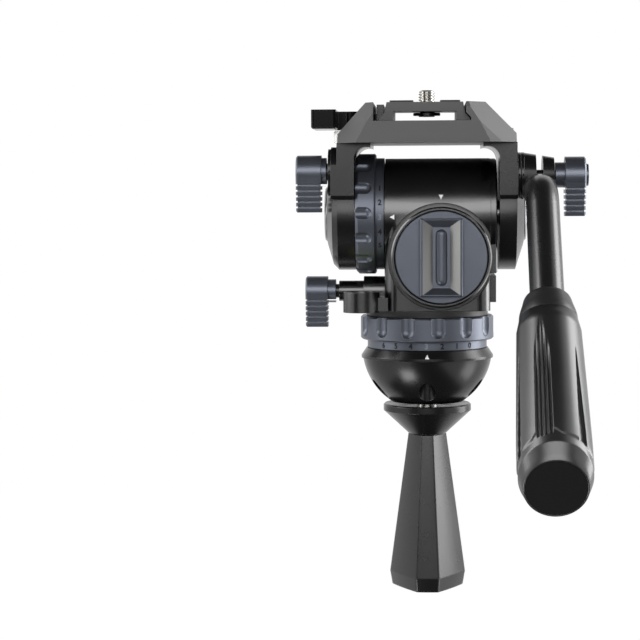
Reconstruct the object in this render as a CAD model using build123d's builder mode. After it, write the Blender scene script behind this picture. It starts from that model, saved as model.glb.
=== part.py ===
from build123d import *

import math
import os

# Fluid video head on a 75 mm half ball, with a tie-down handle and one pan bar.
# Millimetres. The origin is the centre of the ball's sphere, +Z is up along the pan axis,
# +X is to the right and -Y is towards the operator.

os.makedirs("parts", exist_ok=True)

# Fits
RUN_FIT = 0.05
SEAT_FIT = 0.03
GAP = 0.3
OVERRUN = 2.0

# Half ball and the pockets of its screws
BALL_R = 37.5
BALL_RIM_R = 38.0
BALL_RIM_DROP = 5.1
BALL_RIM_LAND = 1.4
BALL_TOP_R = 35.0
BALL_DEPTH = 31.4
POCKET_R = 4.7
POCKET_RING_R = 28.2
POCKET_ROOF_DROP = 13.5
POCKET_COUNT = 5
FRONT_ANGLE = -90

# Pan hub, its screws and the drag cartridge in it
HUB_R = 31.9
HUB_H = 16.5
HUB_FLOOR = 4.5
HUB_CAVITY_R = 24.0
HUB_SCREW_R = 2.0
HUB_SCREW_HEAD_R = 3.5
HUB_SCREW_HEAD_H = 4.0
HUB_SCREW_GRIP = 9.0
HUB_SCREW_KEY_R = 1.5
CARTRIDGE_H = 11.0

# Pan drag ring
RING_R = 38.3
RING_BAND_R = 34.4
RING_BAND_H = 5.1
RING_TOP = 18.5
RING_EDGE = 0.8
SCALLOP_COUNT = 14
SCALLOP_WIDTH = 8.5
SCALLOP_TURN = 9.3
SCALLOP_DEPTH = 2.0
SCALLOP_LAND = 2.0

# Spindle, its brake drum and bearings
SPINDLE_R = 7.0
SPINDLE_ROOT = 10.0
DRUM_R = 15.0
DRUM_LOW = 25.5
DRUM_HIGH = 37.5
SPINDLE_TOP = 49.0
BEARING_R = 13.0
UPPER_BEARING_LOW = 38.6
UPPER_BEARING_HIGH = 44.0
NUT_ACROSS = 16.0

# Turntable
TURNTABLE_R = 35.0
TURNTABLE_TOP = 22.4

# Housing: barrel along X, lower body, dial boss, pan-lock boss and level cup
TILT_Z = 76.9
BARREL_R = 31.7
BARREL_LEFT = 23.7
BARREL_RIGHT = 35.8
BODY_LEFT = 24.0
BODY_CORNER_R = 8.0
BODY_REAR = 30.0
FOOT_LEFT = 27.4
FOOT_TOP = 31.0
FOOT_HALF = 24.0
WING_RIGHT = 39.0
WING_LOW = 27.0
WING_HIGH = 42.0
WING_HALF = 22.0
DRUM_CAVITY_R = 16.0
NUT_CAVITY_R = 10.0
NUT_CAVITY_TOP = 49.6
COVER_RIGHT = 39.6
COVER_R = 31.5
COVER_HALF = 26.4
COVER_LOW = 43.5
COVER_SCREW_R = 2.0
COVER_SCREW_RING_R = 25.5
COVER_SCREW_COUNT = 6

# Tilt drag ring, its hub and the inside of the barrel
TILT_HUB_R = 28.9
TILT_HUB_LEFT = 40.2
TILT_RING_R = 34.5
TILT_RING_LEFT = 40.4
TILT_RING_STEP = 29.0
TILT_RING_RIGHT = 24.3
TILT_BAND_R = 32.0
TILT_RING_CHAMFER = 1.6
SCOOP_COUNT = 15
SCOOP_WIDTH = 7.0
SCOOP_DEPTH = 2.0
SCOOP_END = 31.0
SCOOP_TURN = 1.5
AXLE_R = 8.0
TILT_BEARING_R = 14.0
TILT_BEARING_W = 6.0
TILT_CAVITY_R = 24.3
TILT_CAVITY_LEFT = 30.0
TILT_CAVITY_RIGHT = 29.0
TILT_CARTRIDGE_W = 26.0
SPRING_R = 16.0
SPRING_WIRE_R = 2.0
SPRING_PITCH = 5.0
SPRING_LENGTH = 22.0
BRAKE_DISC_R = 24.0
BRAKE_DISC_LEFT = 44.5

# Counterbalance dial in the boss on the front
DIAL_X = 8.0
DIAL_Z = 53.1
DIAL_R = 26.0
DIAL_FRONT = 41.0
DIAL_T = 7.0
BEZEL_IN_R = 26.4
BEZEL_R = 28.1
BEZEL_FRONT = 42.0
GROOVE_R = 30.2
GROOVE_DEPTH = 5.0
GRIP_BAR_WIDTH = 24.1
GRIP_BAR_LENGTH = 43.4
GRIP_BAR_RISE = 5.0
GRIP_BAR_EDGE = 0.4
GRIP_HOLLOW_WIDTH = 17.4
GRIP_HOLLOW_LENGTH = 42.0
GRIP_FLOOR_WIDTH = 9.5
GRIP_FLOOR_LENGTH = 34.4
GRIP_HOLLOW_DEPTH = 6.5
GRIP_RIB_WIDTH = 5.9
GRIP_RIB_LENGTH = 34.4
GRIP_RIB_RISE = 4.4
DIAL_SPINDLE_R = 5.0
DIAL_SPINDLE_DEPTH = 9.0

# Pan lock on the left, level cup in front of it
PAN_LOCK_Z = 32.5
LOCK_BOSS_R = 5.9
LOCK_BOSS_LEFT = 50.7
LOCK_ROOT_R = 8.5
LOCK_ROOT_LEFT = 36.4
LOCK_STUD_R = 4.0
LOCK_SHOE_T = 4.0
CUP_X = 37.0
CUP_Y = 28.0
CUP_R = 10.3
CUP_LOW = 21.8
CUP_HIGH = 33.3
CUP_WALL = 1.8
CUP_DEPTH = 5.0
CUP_WEB_HALF = 4.0
CUP_WEB_RIGHT = 22.0
CUP_WEB_TOP = 30.0
VIAL_H = 4.2

# Lever knobs: one form, three sizes
LEVER_WIDTH = 12.4
LEVER_RIDGE_PITCH = 3.13
LEVER_RIDGE_DEPTH = 0.9
LEVER_RIDGES = 5
LEVER_TIP_HALF = 5.2
LEVER_EDGE = 0.8
TILT_KNOB_R = 9.4
TILT_KNOB_REACH = 22.8
TILT_KNOB_LEFT = 73.9
TILT_KNOB_RIGHT = 59.6
TILT_COLLAR_R = 8.0
TILT_COLLAR_RIGHT = 56.7
TILT_STUD_R = 4.8
TILT_STUD_TIP = 42.0
PAN_KNOB_R = 8.5
PAN_KNOB_REACH = 20.6
PAN_KNOB_LEFT = 70.0
PAN_KNOB_RIGHT = 57.2
PAN_COLLAR_R = 6.7
PAN_COLLAR_RIGHT = 52.6
BAR_KNOB_R = 10.3
BAR_KNOB_REACH = 23.1
BAR_KNOB_LEFT = 77.5
BAR_KNOB_RIGHT = 89.1
BAR_COLLAR_R = 7.1
BAR_COLLAR_LEFT = 72.1
BAR_BUTTON_RIGHT = 90.7
BAR_BUTTON_R = 6.2
BAR_STUD_R = 3.0
BAR_STUD_TIP = 44.0

# Tilt arms
ARM_IN = 40.8
ARM_OUT = 54.0
ARM_R = 32.2
LOBE_FACE = 50.5
DOME_RIM_R = 29.0
DOME_TOP_R = 17.5
LEFT_DOME_RIM_X = 53.6
LEFT_DOME_TOP_X = 57.0
RIGHT_DOME_RIM_X = 51.5
RIGHT_DOME_TOP_X = 55.2
HUB_COVER_RISE = 1.4
HUB_COVER_R = 15.6
HUB_SEAT_DEPTH = 1.6
COVER_CAP_SCREW_R = 1.4
COVER_CAP_RING_R = 12.0
COVER_CAP_COUNT = 3
ROSETTE_Y = 20.0
ROSETTE_R = 12.9
ROSETTE_ROOT_R = 8.5
ROSETTE_T = 1.6
ROSETTE_TOOTH = 0.7
ROSETTE_TEETH = 40
LOBE_R = 14.0
LOBE_FRONT_LOW = 85.6
LOBE_FRONT_RISE = 4.0
LOBE_CORNER = 2.0
LEFT_LOBE_Z = 101.0
RIGHT_LOBE_Z = 98.6
RIGHT_LOBE_OUT = 51.0
ARM_TOP_HALF = 34.0
ARM_REAR_LOW = 107.0
ARM_REAR_ROOT = 26.0
FLARE_IN = 31.5
FLARE_LOW = 108.0
FLARE_SIDE = 114.5
DISC_RECESS_R = 24.6
DISC_RECESS_X = 44.9
SHOE_PIN_R = 1.5

# Top frame
FRAME_LOW = 117.0
FRAME_HALF = 50.0
FRAME_SIDE_TOP = 122.0
FRAME_TOP = 139.2
FRAME_FLOOR = 128.8
LEFT_RAIL_TOP_OUT = 34.0
LEFT_RAIL_IN = 29.6
RIGHT_RAIL_TOP_OUT = 32.5
RIGHT_RAIL_IN = 21.7
RIGHT_RAIL_UNDERCUT = 24.5
DOVETAIL_Z = 133.2
FRAME_LENGTH_HALF = 50.0
BEAM_CHAMFER_H = 3.0
BEAM_CHAMFER_W = 1.2
RAIL_SLOT_IN = 11.1
RAIL_SLOT_SETBACK = 8.1
RAIL_SLOT_X = FRAME_HALF - RAIL_SLOT_IN
RAIL_SLOT_Y = FRAME_LENGTH_HALF - RAIL_SLOT_SETBACK
RAIL_SLOT_Z = 128.9
RAIL_SLOT_DIR = (6.8, 2.0, -8.0)
RAIL_SLOT_LENGTH = 12.0
RAIL_SLOT_WIDTH = 2.4
RAIL_SLOT_DEPTH = 0.8
CORNER_SETBACK = 14.0
CORNER_SIDE_Y = FRAME_LENGTH_HALF - CORNER_SETBACK
LEFT_CORNER_LOW = 10.6
LEFT_CORNER_TOP = 16.9
RIGHT_CORNER_LOW = 13.2
RIGHT_CORNER_TOP = 21.1
LEFT_CORNER_LOW_X = FRAME_HALF - LEFT_CORNER_LOW
LEFT_CORNER_TOP_X = FRAME_HALF - LEFT_CORNER_TOP
RIGHT_CORNER_LOW_X = FRAME_HALF - RIGHT_CORNER_LOW
RIGHT_CORNER_TOP_X = FRAME_HALF - RIGHT_CORNER_TOP
RAIL_SETBACK = 5.0
RAIL_END_Y = FRAME_LENGTH_HALF - RAIL_SETBACK
FRAME_BOLT_R = 2.5
FRAME_BOLT_HEAD_R = 4.2
FRAME_BOLT_HEAD_H = 3.0
FRAME_BOLT_INSET = 5.6
FRAME_BOLT_X = FRAME_HALF - FRAME_BOLT_INSET
FRAME_BOLT_Y = 24.0
FRAME_BOLT_REACH = 9.0

# Quick-release jaw and lever
JAW_OUT = 28.1
JAW_IN = 24.1
JAW_HALF = 26.0
JAW_TOP = 138.6
JAW_TAIL_HALF = 5.0
JAW_TAIL_LOW = 130.2
JAW_TAIL_HIGH = 134.6
JAW_FOOT_SLOPE = 3.57
LEVER_PIVOT_INSET = 3.5
LEVER_PIVOT_X = FRAME_HALF - LEVER_PIVOT_INSET
LEVER_PIVOT_Y = 10.0
LEVER_CAM_R = 6.0
LEVER_CAM_OFFSET = 2.0
LEVER_LOW = 125.2
LEVER_HIGH = 136.0
LEVER_STAND_OFF = 1.0
LEVER_THICKNESS = 14.0
LEVER_IN = FRAME_HALF + LEVER_STAND_OFF
LEVER_OUT = LEVER_IN + LEVER_THICKNESS
LEVER_FRONT = 30.0
LEVER_REAR = 9.0
LEVER_NECK = 5.0
LEVER_ROUND = 2.0
LEVER_PIN_R = 2.0
LEVER_PIN_LOW = 121.5
POCKET_GAP = 0.5
STOP_PROUD = 3.2
STOP_OUT = FRAME_HALF + STOP_PROUD
STOP_LOW = 117.5
STOP_HIGH = 124.6
STOP_HALF = 6.0

# Camera plate, pads and camera screw
PLATE_LEFT = 23.6
PLATE_RIGHT = 21.2
PLATE_TOP_LEFT = 22.2
PLATE_TOP_RIGHT = 20.1
PLATE_FOOT = 2.8
PLATE_FOOT_H = 1.0
PLATE_FRONT = 44.0
PLATE_REAR = 40.0
PLATE_LEG = 3.6
PLATE_SHEET = 3.0
PLATE_LIP_T = 3.0
PLATE_LIP_LOW = 134.0
PAD_H = 1.0
PAD_EDGE = 1.6
SLOT_HALF_WIDTH = 5.8
SLOT_FRONT = 12.0
SLOT_REAR = 24.0
SCREW_R = 4.7625
SCREW_TOP = 147.6
SCREW_NECK_R = 3.9
SCREW_THREAD_LOW = 140.5
SCREW_HEAD_R = 4.6
SCREW_HEAD_LOW = 132.4
SCREW_FLANGE_R = 7.8
SCREW_FLANGE_T = 1.6
WASHER_T = 0.8
WASHER_R = 8.4
SCREW_SLOT_W = 1.6
SCREW_SLOT_DEPTH = 1.4

# Pan bar and its clamp
SOCKET_X = 62.3
SOCKET_Z = 90.0
SOCKET_R = 9.1
SOCKET_MOUTH = 40.0
SOCKET_REAR = 29.0
SPIGOT_R = 6.4
SPIGOT_ROOT = 29.6
TUBE_R = 9.0
CLAMP_LEFT = 54.2
CLAMP_LEFT_R = 12.7
CLAMP_RIGHT = 71.4
CLAMP_RIGHT_R = 9.9
CLAMP_SLOT_LEFT = 61.2
CLAMP_SLOT_RIGHT = 64.9
STUB_END = 51.0
BEND_R = 28.0
BAR_DROP_ANGLE = 49
BAR_LENGTH = 153.0
COLLAR_START = 61.4
COLLAR_R = 15.2
COLLAR_LENGTH = 15.0
GRIP_START_R = 16.7
GRIP_MID_R = 18.8
GRIP_END_R = 19.3
GRIP_SHOULDER = 7.7
GRIP_FLARE = 67.0
GRIP_LENGTH = 101.0
GRIP_CHAMFER = 3.6
FLUTE_ANGLES = (-148, -109, -70, 44, 83, 122, 161)
FLUTE_MIDDLE = 119.0
FLUTE_LENGTH = 58.0
FLUTE_WIDTH = 4.6
FLUTE_DEPTH = 1.0
CAP_R = 15.3
CAP_T = 2.0
CAP_TILT = 25
TUBE_WALL = 1.5

# Tie-down
STUD_R = 6.0
STUD_ROOT_DROP = 14.0
STUD_LENGTH = 78.0
STUD_PITCH = 1.75
TIE_FLANGE_R = 25.3
TIE_CLEARANCE = 1.2
TIE_FLANGE_T = 4.0
TIE_FLANGE_TOP = BALL_DEPTH + TIE_CLEARANCE
TIE_FLANGE_LOW = TIE_FLANGE_TOP + TIE_FLANGE_T
TIE_DISH_R = 14.0
TIE_DISH_DEPTH = 2.4
TIE_CONE_R = 10.9
TIE_CONE_H = 13.4
TIE_CONE_LOW = TIE_FLANGE_LOW + TIE_CONE_H
HANDLE_CLEARANCE = 0.4
HANDLE_SWELL_LENGTH = 81.6
HANDLE_TAPER_LENGTH = 8.0
HANDLE_TOP = TIE_CONE_LOW + HANDLE_CLEARANCE
HANDLE_SWELL = HANDLE_TOP + HANDLE_SWELL_LENGTH
HANDLE_END = HANDLE_SWELL + HANDLE_TAPER_LENGTH
HANDLE_FACET_AXIS = 21.5
HANDLE_FACET_WIDTH = 13.0
HANDLE_TOP_SHARE = 0.5
HANDLE_END_SHARE = 0.94
HANDLE_BORE_DEPTH = 50.0


def ring_cut_radius(width, depth):
    # Radius of the round cutter that leaves a hollow of this width and depth in a rim
    return (width * width / 4 + depth * depth) / (2 * depth)


def side_plane(x, z, y=0):
    # Plane across X, its own x along +Y
    return Plane(origin=(x, y, z), x_dir=(0, 1, 0), z_dir=(1, 0, 0))


def write(builder, label):
    builder.part.label = label
    export_step(builder.part, f"parts/{label}.step")


# Half ball: chamfered rim, sphere, flat bottom, five pockets that break out of the side
rim_low = BALL_RIM_DROP + BALL_RIM_LAND / 2
sphere_start = -math.degrees(math.asin(rim_low / BALL_R))
sphere_end = -math.degrees(math.asin(BALL_DEPTH / BALL_R))
rim_sphere_r = math.sqrt(BALL_R**2 - rim_low**2)
bottom_r = math.sqrt(BALL_R**2 - BALL_DEPTH**2)
with BuildPart() as half_ball:
    with BuildSketch(Plane.XZ):
        with BuildLine():
            Polyline(
                (0, -BALL_DEPTH),
                (0, 0),
                (BALL_TOP_R, 0),
                (BALL_RIM_R, -BALL_RIM_DROP + BALL_RIM_LAND / 2),
                (BALL_RIM_R, -rim_low),
                (rim_sphere_r, -rim_low),
            )
            CenterArc((0, 0), BALL_R, sphere_start, sphere_end - sphere_start)
            Line((bottom_r, -BALL_DEPTH), (0, -BALL_DEPTH))
        make_face()
    revolve(axis=Axis.Z)
    with BuildSketch(Plane.XY.offset(-BALL_DEPTH - OVERRUN)):
        with PolarLocations(POCKET_RING_R, POCKET_COUNT, start_angle=FRONT_ANGLE):
            Circle(POCKET_R)
    extrude(amount=BALL_DEPTH + OVERRUN - POCKET_ROOF_DROP, mode=Mode.SUBTRACT)
    with BuildSketch(Plane.XY.offset(OVERRUN)):
        with PolarLocations(POCKET_RING_R, POCKET_COUNT, start_angle=FRONT_ANGLE):
            Circle(HUB_SCREW_R + SEAT_FIT)
    extrude(amount=-POCKET_ROOF_DROP - OVERRUN - OVERRUN, mode=Mode.SUBTRACT)
    with BuildSketch(Plane.XY.offset(OVERRUN)):
        Circle(SPINDLE_R + SEAT_FIT)
    extrude(amount=-OVERRUN - SPINDLE_ROOT - SEAT_FIT, mode=Mode.SUBTRACT)
    with BuildSketch(Plane.XY.offset(-BALL_DEPTH - OVERRUN)):
        Circle(STUD_R + SEAT_FIT)
    extrude(amount=BALL_DEPTH + OVERRUN - STUD_ROOT_DROP + SEAT_FIT, mode=Mode.SUBTRACT)
write(half_ball, "half_ball")

# Pan hub: a cup on the ball that the drag ring turns round
with BuildPart() as pan_hub:
    with BuildSketch(Plane.XY):
        Circle(HUB_R)
    extrude(amount=HUB_H)
    with BuildSketch(Plane.XY.offset(HUB_FLOOR)):
        Circle(HUB_CAVITY_R)
    extrude(amount=HUB_H, mode=Mode.SUBTRACT)
    with BuildSketch(Plane.XY.offset(-OVERRUN)):
        Circle(SPINDLE_R + SEAT_FIT)
    extrude(amount=HUB_H, mode=Mode.SUBTRACT)
    with BuildSketch(Plane.XY.offset(-OVERRUN)):
        with PolarLocations(POCKET_RING_R, POCKET_COUNT, start_angle=FRONT_ANGLE):
            Circle(HUB_SCREW_R + SEAT_FIT)
    extrude(amount=OVERRUN + HUB_SCREW_GRIP + GAP, mode=Mode.SUBTRACT)
write(pan_hub, "pan_hub")

# Cap screws up the pockets, into the hub
with BuildPart() as hub_screws:
    with BuildSketch(Plane.XY.offset(-POCKET_ROOF_DROP)):
        with PolarLocations(POCKET_RING_R, POCKET_COUNT, start_angle=FRONT_ANGLE):
            Circle(HUB_SCREW_R)
    extrude(amount=POCKET_ROOF_DROP + HUB_SCREW_GRIP)
    with BuildSketch(Plane.XY.offset(-POCKET_ROOF_DROP)):
        with PolarLocations(POCKET_RING_R, POCKET_COUNT, start_angle=FRONT_ANGLE):
            Circle(HUB_SCREW_HEAD_R)
    extrude(amount=-HUB_SCREW_HEAD_H)
    with BuildSketch(Plane.XY.offset(-POCKET_ROOF_DROP - HUB_SCREW_HEAD_H)):
        with PolarLocations(POCKET_RING_R, POCKET_COUNT, start_angle=FRONT_ANGLE):
            RegularPolygon(HUB_SCREW_KEY_R, 6)
    extrude(amount=HUB_SCREW_HEAD_H / 2, mode=Mode.SUBTRACT)
write(hub_screws, "hub_screws")

# Damping cartridge, a closed ring in the hub
with BuildPart() as pan_drag_cartridge:
    with BuildSketch(Plane.XY.offset(HUB_FLOOR)):
        Circle(HUB_CAVITY_R - SEAT_FIT)
        Circle(SPINDLE_R + SEAT_FIT, mode=Mode.SUBTRACT)
    extrude(amount=CARTRIDGE_H)
write(pan_drag_cartridge, "pan_drag_cartridge")

# Pan drag ring: number band below, scalloped grip above
ring_inside = HUB_R + 2 * RUN_FIT
scallop_cut_r = ring_cut_radius(SCALLOP_WIDTH, SCALLOP_DEPTH)
scallop_axis_r = RING_R - SCALLOP_DEPTH + scallop_cut_r
scallop_low = RING_BAND_H + SCALLOP_LAND + SCALLOP_WIDTH / 2
with BuildPart() as pan_drag_ring:
    with BuildSketch(Plane.XZ):
        with BuildLine():
            Polyline(
                (ring_inside, GAP),
                (RING_BAND_R, GAP),
                (RING_BAND_R, RING_BAND_H),
                (RING_R - RING_EDGE, RING_BAND_H),
                (RING_R, RING_BAND_H + RING_EDGE),
                (RING_R, RING_TOP - RING_EDGE),
                (RING_R - RING_EDGE, RING_TOP),
                (ring_inside, RING_TOP),
                close=True,
            )
        make_face()
    revolve(axis=Axis.Z)
    with PolarLocations(scallop_axis_r, SCALLOP_COUNT, start_angle=FRONT_ANGLE + SCALLOP_TURN):
        with Locations((0, 0, scallop_low)):
            Sphere(scallop_cut_r, mode=Mode.SUBTRACT)
            Cylinder(
                scallop_cut_r,
                RING_TOP,
                align=(Align.CENTER, Align.CENTER, Align.MIN),
                mode=Mode.SUBTRACT,
            )
write(pan_drag_ring, "pan_drag_ring")

# Spindle with the brake drum of the pan lock
with BuildPart() as pan_spindle:
    with BuildSketch(Plane.XZ):
        with BuildLine():
            Polyline(
                (0, -SPINDLE_ROOT),
                (SPINDLE_R, -SPINDLE_ROOT),
                (SPINDLE_R, DRUM_LOW),
                (DRUM_R, DRUM_LOW),
                (DRUM_R, DRUM_HIGH),
                (SPINDLE_R, DRUM_HIGH),
                (SPINDLE_R, SPINDLE_TOP),
                (0, SPINDLE_TOP),
                close=True,
            )
        make_face()
    revolve(axis=Axis.Z)
write(pan_spindle, "pan_spindle")

# Hexagon nut that holds the upper bearing down
with BuildPart() as spindle_nut:
    with BuildSketch(Plane.XY.offset(UPPER_BEARING_HIGH + GAP)):
        RegularPolygon(NUT_ACROSS / 2, 6, major_radius=False)
        Circle(SPINDLE_R + SEAT_FIT, mode=Mode.SUBTRACT)
    extrude(amount=SPINDLE_TOP - UPPER_BEARING_HIGH - 2 * GAP)
write(spindle_nut, "spindle_nut")

# Stud under the ball
with BuildPart() as tie_down_stud:
    with BuildSketch(Plane.XY.offset(-STUD_ROOT_DROP)):
        Circle(STUD_R)
    extrude(amount=-STUD_LENGTH)
    chamfer(tie_down_stud.edges().group_by(Axis.Z)[0], length=STUD_PITCH / 2)
write(tie_down_stud, "tie_down_stud")

# Tie-down washer: dished flange over a hollow cone
with BuildPart() as tie_down_washer:
    with BuildSketch(Plane.XZ):
        with BuildLine():
            dish = Line(
                (STUD_R + GAP, -TIE_FLANGE_TOP - TIE_DISH_DEPTH),
                (TIE_DISH_R, -TIE_FLANGE_TOP - TIE_DISH_DEPTH),
            )
            lip = Polyline(
                dish @ 1,
                (TIE_FLANGE_R - RING_EDGE, -TIE_FLANGE_TOP),
                (TIE_FLANGE_R, -TIE_FLANGE_TOP - RING_EDGE),
                (TIE_FLANGE_R, -TIE_FLANGE_LOW),
                (TIE_CONE_R, -TIE_CONE_LOW),
                (STUD_R + GAP, -TIE_CONE_LOW),
                dish @ 0,
            )
        make_face()
    revolve(axis=Axis.Z)
write(tie_down_washer, "tie_down_washer")


def handle_section(share):
    # Three narrow and three wide facets, one narrow facet to the front
    half = share * HANDLE_FACET_WIDTH / 2
    reach = share * HANDLE_FACET_AXIS
    corner_r = math.hypot(half, reach)
    spread = math.degrees(math.atan2(half, reach))
    corners = []
    for facet in range(3):
        middle = FRONT_ANGLE + 120 * facet
        for side in (-spread, spread):
            angle = math.radians(middle + side)
            corners.append((corner_r * math.cos(angle), corner_r * math.sin(angle)))
    return corners


# Tie-down handle: swells downwards, then tapers in a little
with BuildPart() as tie_down_handle:
    with BuildSketch(Plane.XY.offset(-HANDLE_TOP)):
        Polygon(*handle_section(HANDLE_TOP_SHARE), align=None)
    with BuildSketch(Plane.XY.offset(-HANDLE_SWELL)):
        Polygon(*handle_section(1), align=None)
    loft(ruled=True)
    with BuildSketch(Plane.XY.offset(-HANDLE_SWELL)):
        Polygon(*handle_section(1), align=None)
    with BuildSketch(Plane.XY.offset(-HANDLE_END)):
        Polygon(*handle_section(HANDLE_END_SHARE), align=None)
    loft(ruled=True)
    with BuildSketch(Plane.XY.offset(-HANDLE_TOP + OVERRUN)):
        Circle(STUD_R + RUN_FIT)
    extrude(amount=-OVERRUN - HANDLE_BORE_DEPTH, mode=Mode.SUBTRACT)
write(tie_down_handle, "tie_down_handle")

# Turntable with the seat of the lower bearing
turntable_low = RING_TOP + GAP
with BuildPart() as turntable:
    with BuildSketch(Plane.XY.offset(turntable_low)):
        Circle(TURNTABLE_R)
        Circle(BEARING_R + SEAT_FIT, mode=Mode.SUBTRACT)
    extrude(amount=TURNTABLE_TOP - turntable_low)
write(turntable, "turntable")

for name, low, high in (
    ("pan_bearing_lower", turntable_low, TURNTABLE_TOP),
    ("pan_bearing_upper", UPPER_BEARING_LOW, UPPER_BEARING_HIGH),
):
    with BuildPart() as bearing:
        with BuildSketch(Plane.XY.offset(low)):
            Circle(BEARING_R)
            Circle(SPINDLE_R + RUN_FIT, mode=Mode.SUBTRACT)
        extrude(amount=high - low)
    write(bearing, name)

# Housing
body_front = BARREL_R
body_middle_x = (BARREL_RIGHT - BODY_LEFT) / 2
body_width = BARREL_RIGHT + BODY_LEFT
body_middle_y = (BODY_REAR - body_front) / 2
tilt_axis_left = side_plane(-TILT_HUB_LEFT, TILT_Z)
cup_floor = CUP_HIGH - CUP_DEPTH
with BuildPart() as housing:
    with BuildSketch(side_plane(-BARREL_LEFT, TILT_Z)):
        Circle(BARREL_R)
    extrude(amount=BARREL_LEFT + BARREL_RIGHT)
    with BuildSketch(Plane.XY.offset(TURNTABLE_TOP)):
        with Locations((body_middle_x, body_middle_y)):
            RectangleRounded(body_width, body_front + BODY_REAR, BODY_CORNER_R)
    extrude(amount=TILT_Z - TURNTABLE_TOP)
    with BuildSketch(Plane.XY.offset(TURNTABLE_TOP)):
        with Locations((-FOOT_LEFT / 2, 0)):
            Rectangle(FOOT_LEFT, 2 * FOOT_HALF)
    extrude(amount=FOOT_TOP - TURNTABLE_TOP)
    with BuildSketch(Plane.XY.offset(WING_LOW)):
        with Locations((WING_RIGHT / 2, 0)):
            Rectangle(WING_RIGHT, 2 * WING_HALF)
    extrude(amount=WING_HIGH - WING_LOW)
    # Hub of the tilt drag ring
    with BuildSketch(tilt_axis_left):
        Circle(TILT_HUB_R)
    extrude(amount=TILT_HUB_LEFT)
    # Pan-lock boss, larger at its root
    with BuildSketch(side_plane(-LOCK_BOSS_LEFT, PAN_LOCK_Z)):
        Circle(LOCK_BOSS_R)
    extrude(amount=LOCK_BOSS_LEFT)
    with BuildSketch(side_plane(-LOCK_ROOT_LEFT, PAN_LOCK_Z)):
        Circle(LOCK_ROOT_R)
    extrude(amount=LOCK_ROOT_LEFT)
    # Level cup and the web that carries it
    with BuildSketch(Plane.XY.offset(TURNTABLE_TOP)):
        with Locations((-(CUP_X + CUP_WEB_RIGHT) / 2, -CUP_Y)):
            Rectangle(CUP_X - CUP_WEB_RIGHT, 2 * CUP_WEB_HALF)
    extrude(amount=CUP_WEB_TOP - TURNTABLE_TOP)
    with BuildSketch(Plane.XY.offset(CUP_LOW)):
        with Locations((-CUP_X, -CUP_Y)):
            Circle(CUP_R)
    extrude(amount=CUP_HIGH - CUP_LOW)
    with BuildSketch(Plane.XY.offset(cup_floor)):
        with Locations((-CUP_X, -CUP_Y)):
            Circle(CUP_R - CUP_WALL)
    extrude(amount=CUP_DEPTH + OVERRUN, mode=Mode.SUBTRACT)
    # Dial boss: a bore for the dial and a dark groove round its bezel
    with BuildSketch(Plane(origin=(DIAL_X, -body_front - OVERRUN, DIAL_Z), x_dir=(1, 0, 0), z_dir=(0, 1, 0))):
        Circle(GROOVE_R)
        Circle(BEZEL_IN_R - SEAT_FIT, mode=Mode.SUBTRACT)
    extrude(amount=OVERRUN + GROOVE_DEPTH, mode=Mode.SUBTRACT)
    with BuildSketch(Plane(origin=(DIAL_X, -body_front, DIAL_Z), x_dir=(1, 0, 0), z_dir=(0, 1, 0))):
        Circle(DIAL_SPINDLE_R + RUN_FIT)
    extrude(amount=DIAL_SPINDLE_DEPTH, mode=Mode.SUBTRACT)
    # Spindle cavity from below
    with BuildSketch(Plane.XY.offset(TURNTABLE_TOP - OVERRUN)):
        Circle(DRUM_CAVITY_R)
    extrude(amount=UPPER_BEARING_LOW - TURNTABLE_TOP + OVERRUN, mode=Mode.SUBTRACT)
    with BuildSketch(Plane.XY.offset(UPPER_BEARING_LOW)):
        Circle(BEARING_R + SEAT_FIT)
    extrude(amount=UPPER_BEARING_HIGH - UPPER_BEARING_LOW, mode=Mode.SUBTRACT)
    with BuildSketch(Plane.XY.offset(UPPER_BEARING_HIGH)):
        Circle(NUT_CAVITY_R)
    extrude(amount=NUT_CAVITY_TOP - UPPER_BEARING_HIGH, mode=Mode.SUBTRACT)
    # Pan-lock stud bore
    with BuildSketch(side_plane(-LOCK_BOSS_LEFT - OVERRUN, PAN_LOCK_Z)):
        Circle(LOCK_STUD_R + RUN_FIT)
    extrude(amount=LOCK_BOSS_LEFT + OVERRUN, mode=Mode.SUBTRACT)
    # Barrel: cavity, bearing seats, axle way
    with BuildSketch(side_plane(-TILT_CAVITY_LEFT, TILT_Z)):
        Circle(TILT_CAVITY_R)
    extrude(amount=TILT_CAVITY_LEFT + TILT_CAVITY_RIGHT, mode=Mode.SUBTRACT)
    with BuildSketch(side_plane(-TILT_HUB_LEFT - OVERRUN, TILT_Z)):
        Circle(TILT_BEARING_R + SEAT_FIT)
    extrude(amount=TILT_HUB_LEFT + BARREL_RIGHT + 2 * OVERRUN, mode=Mode.SUBTRACT)
write(housing, "housing")

# Bearings of the tilt axle
for name, left in (
    ("tilt_bearing_left", -TILT_HUB_LEFT),
    ("tilt_bearing_right", BARREL_RIGHT - TILT_BEARING_W),
):
    with BuildPart() as tilt_bearing:
        with BuildSketch(side_plane(left, TILT_Z)):
            Circle(TILT_BEARING_R)
            Circle(AXLE_R + RUN_FIT, mode=Mode.SUBTRACT)
        extrude(amount=TILT_BEARING_W)
    write(tilt_bearing, name)

# Damping cartridge of the tilt movement
with BuildPart() as tilt_drag_cartridge:
    with BuildSketch(side_plane(-TILT_CAVITY_LEFT, TILT_Z)):
        Circle(TILT_CAVITY_R - SEAT_FIT)
        Circle(AXLE_R + RUN_FIT, mode=Mode.SUBTRACT)
    extrude(amount=TILT_CARTRIDGE_W)
write(tilt_drag_cartridge, "tilt_drag_cartridge")

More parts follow.
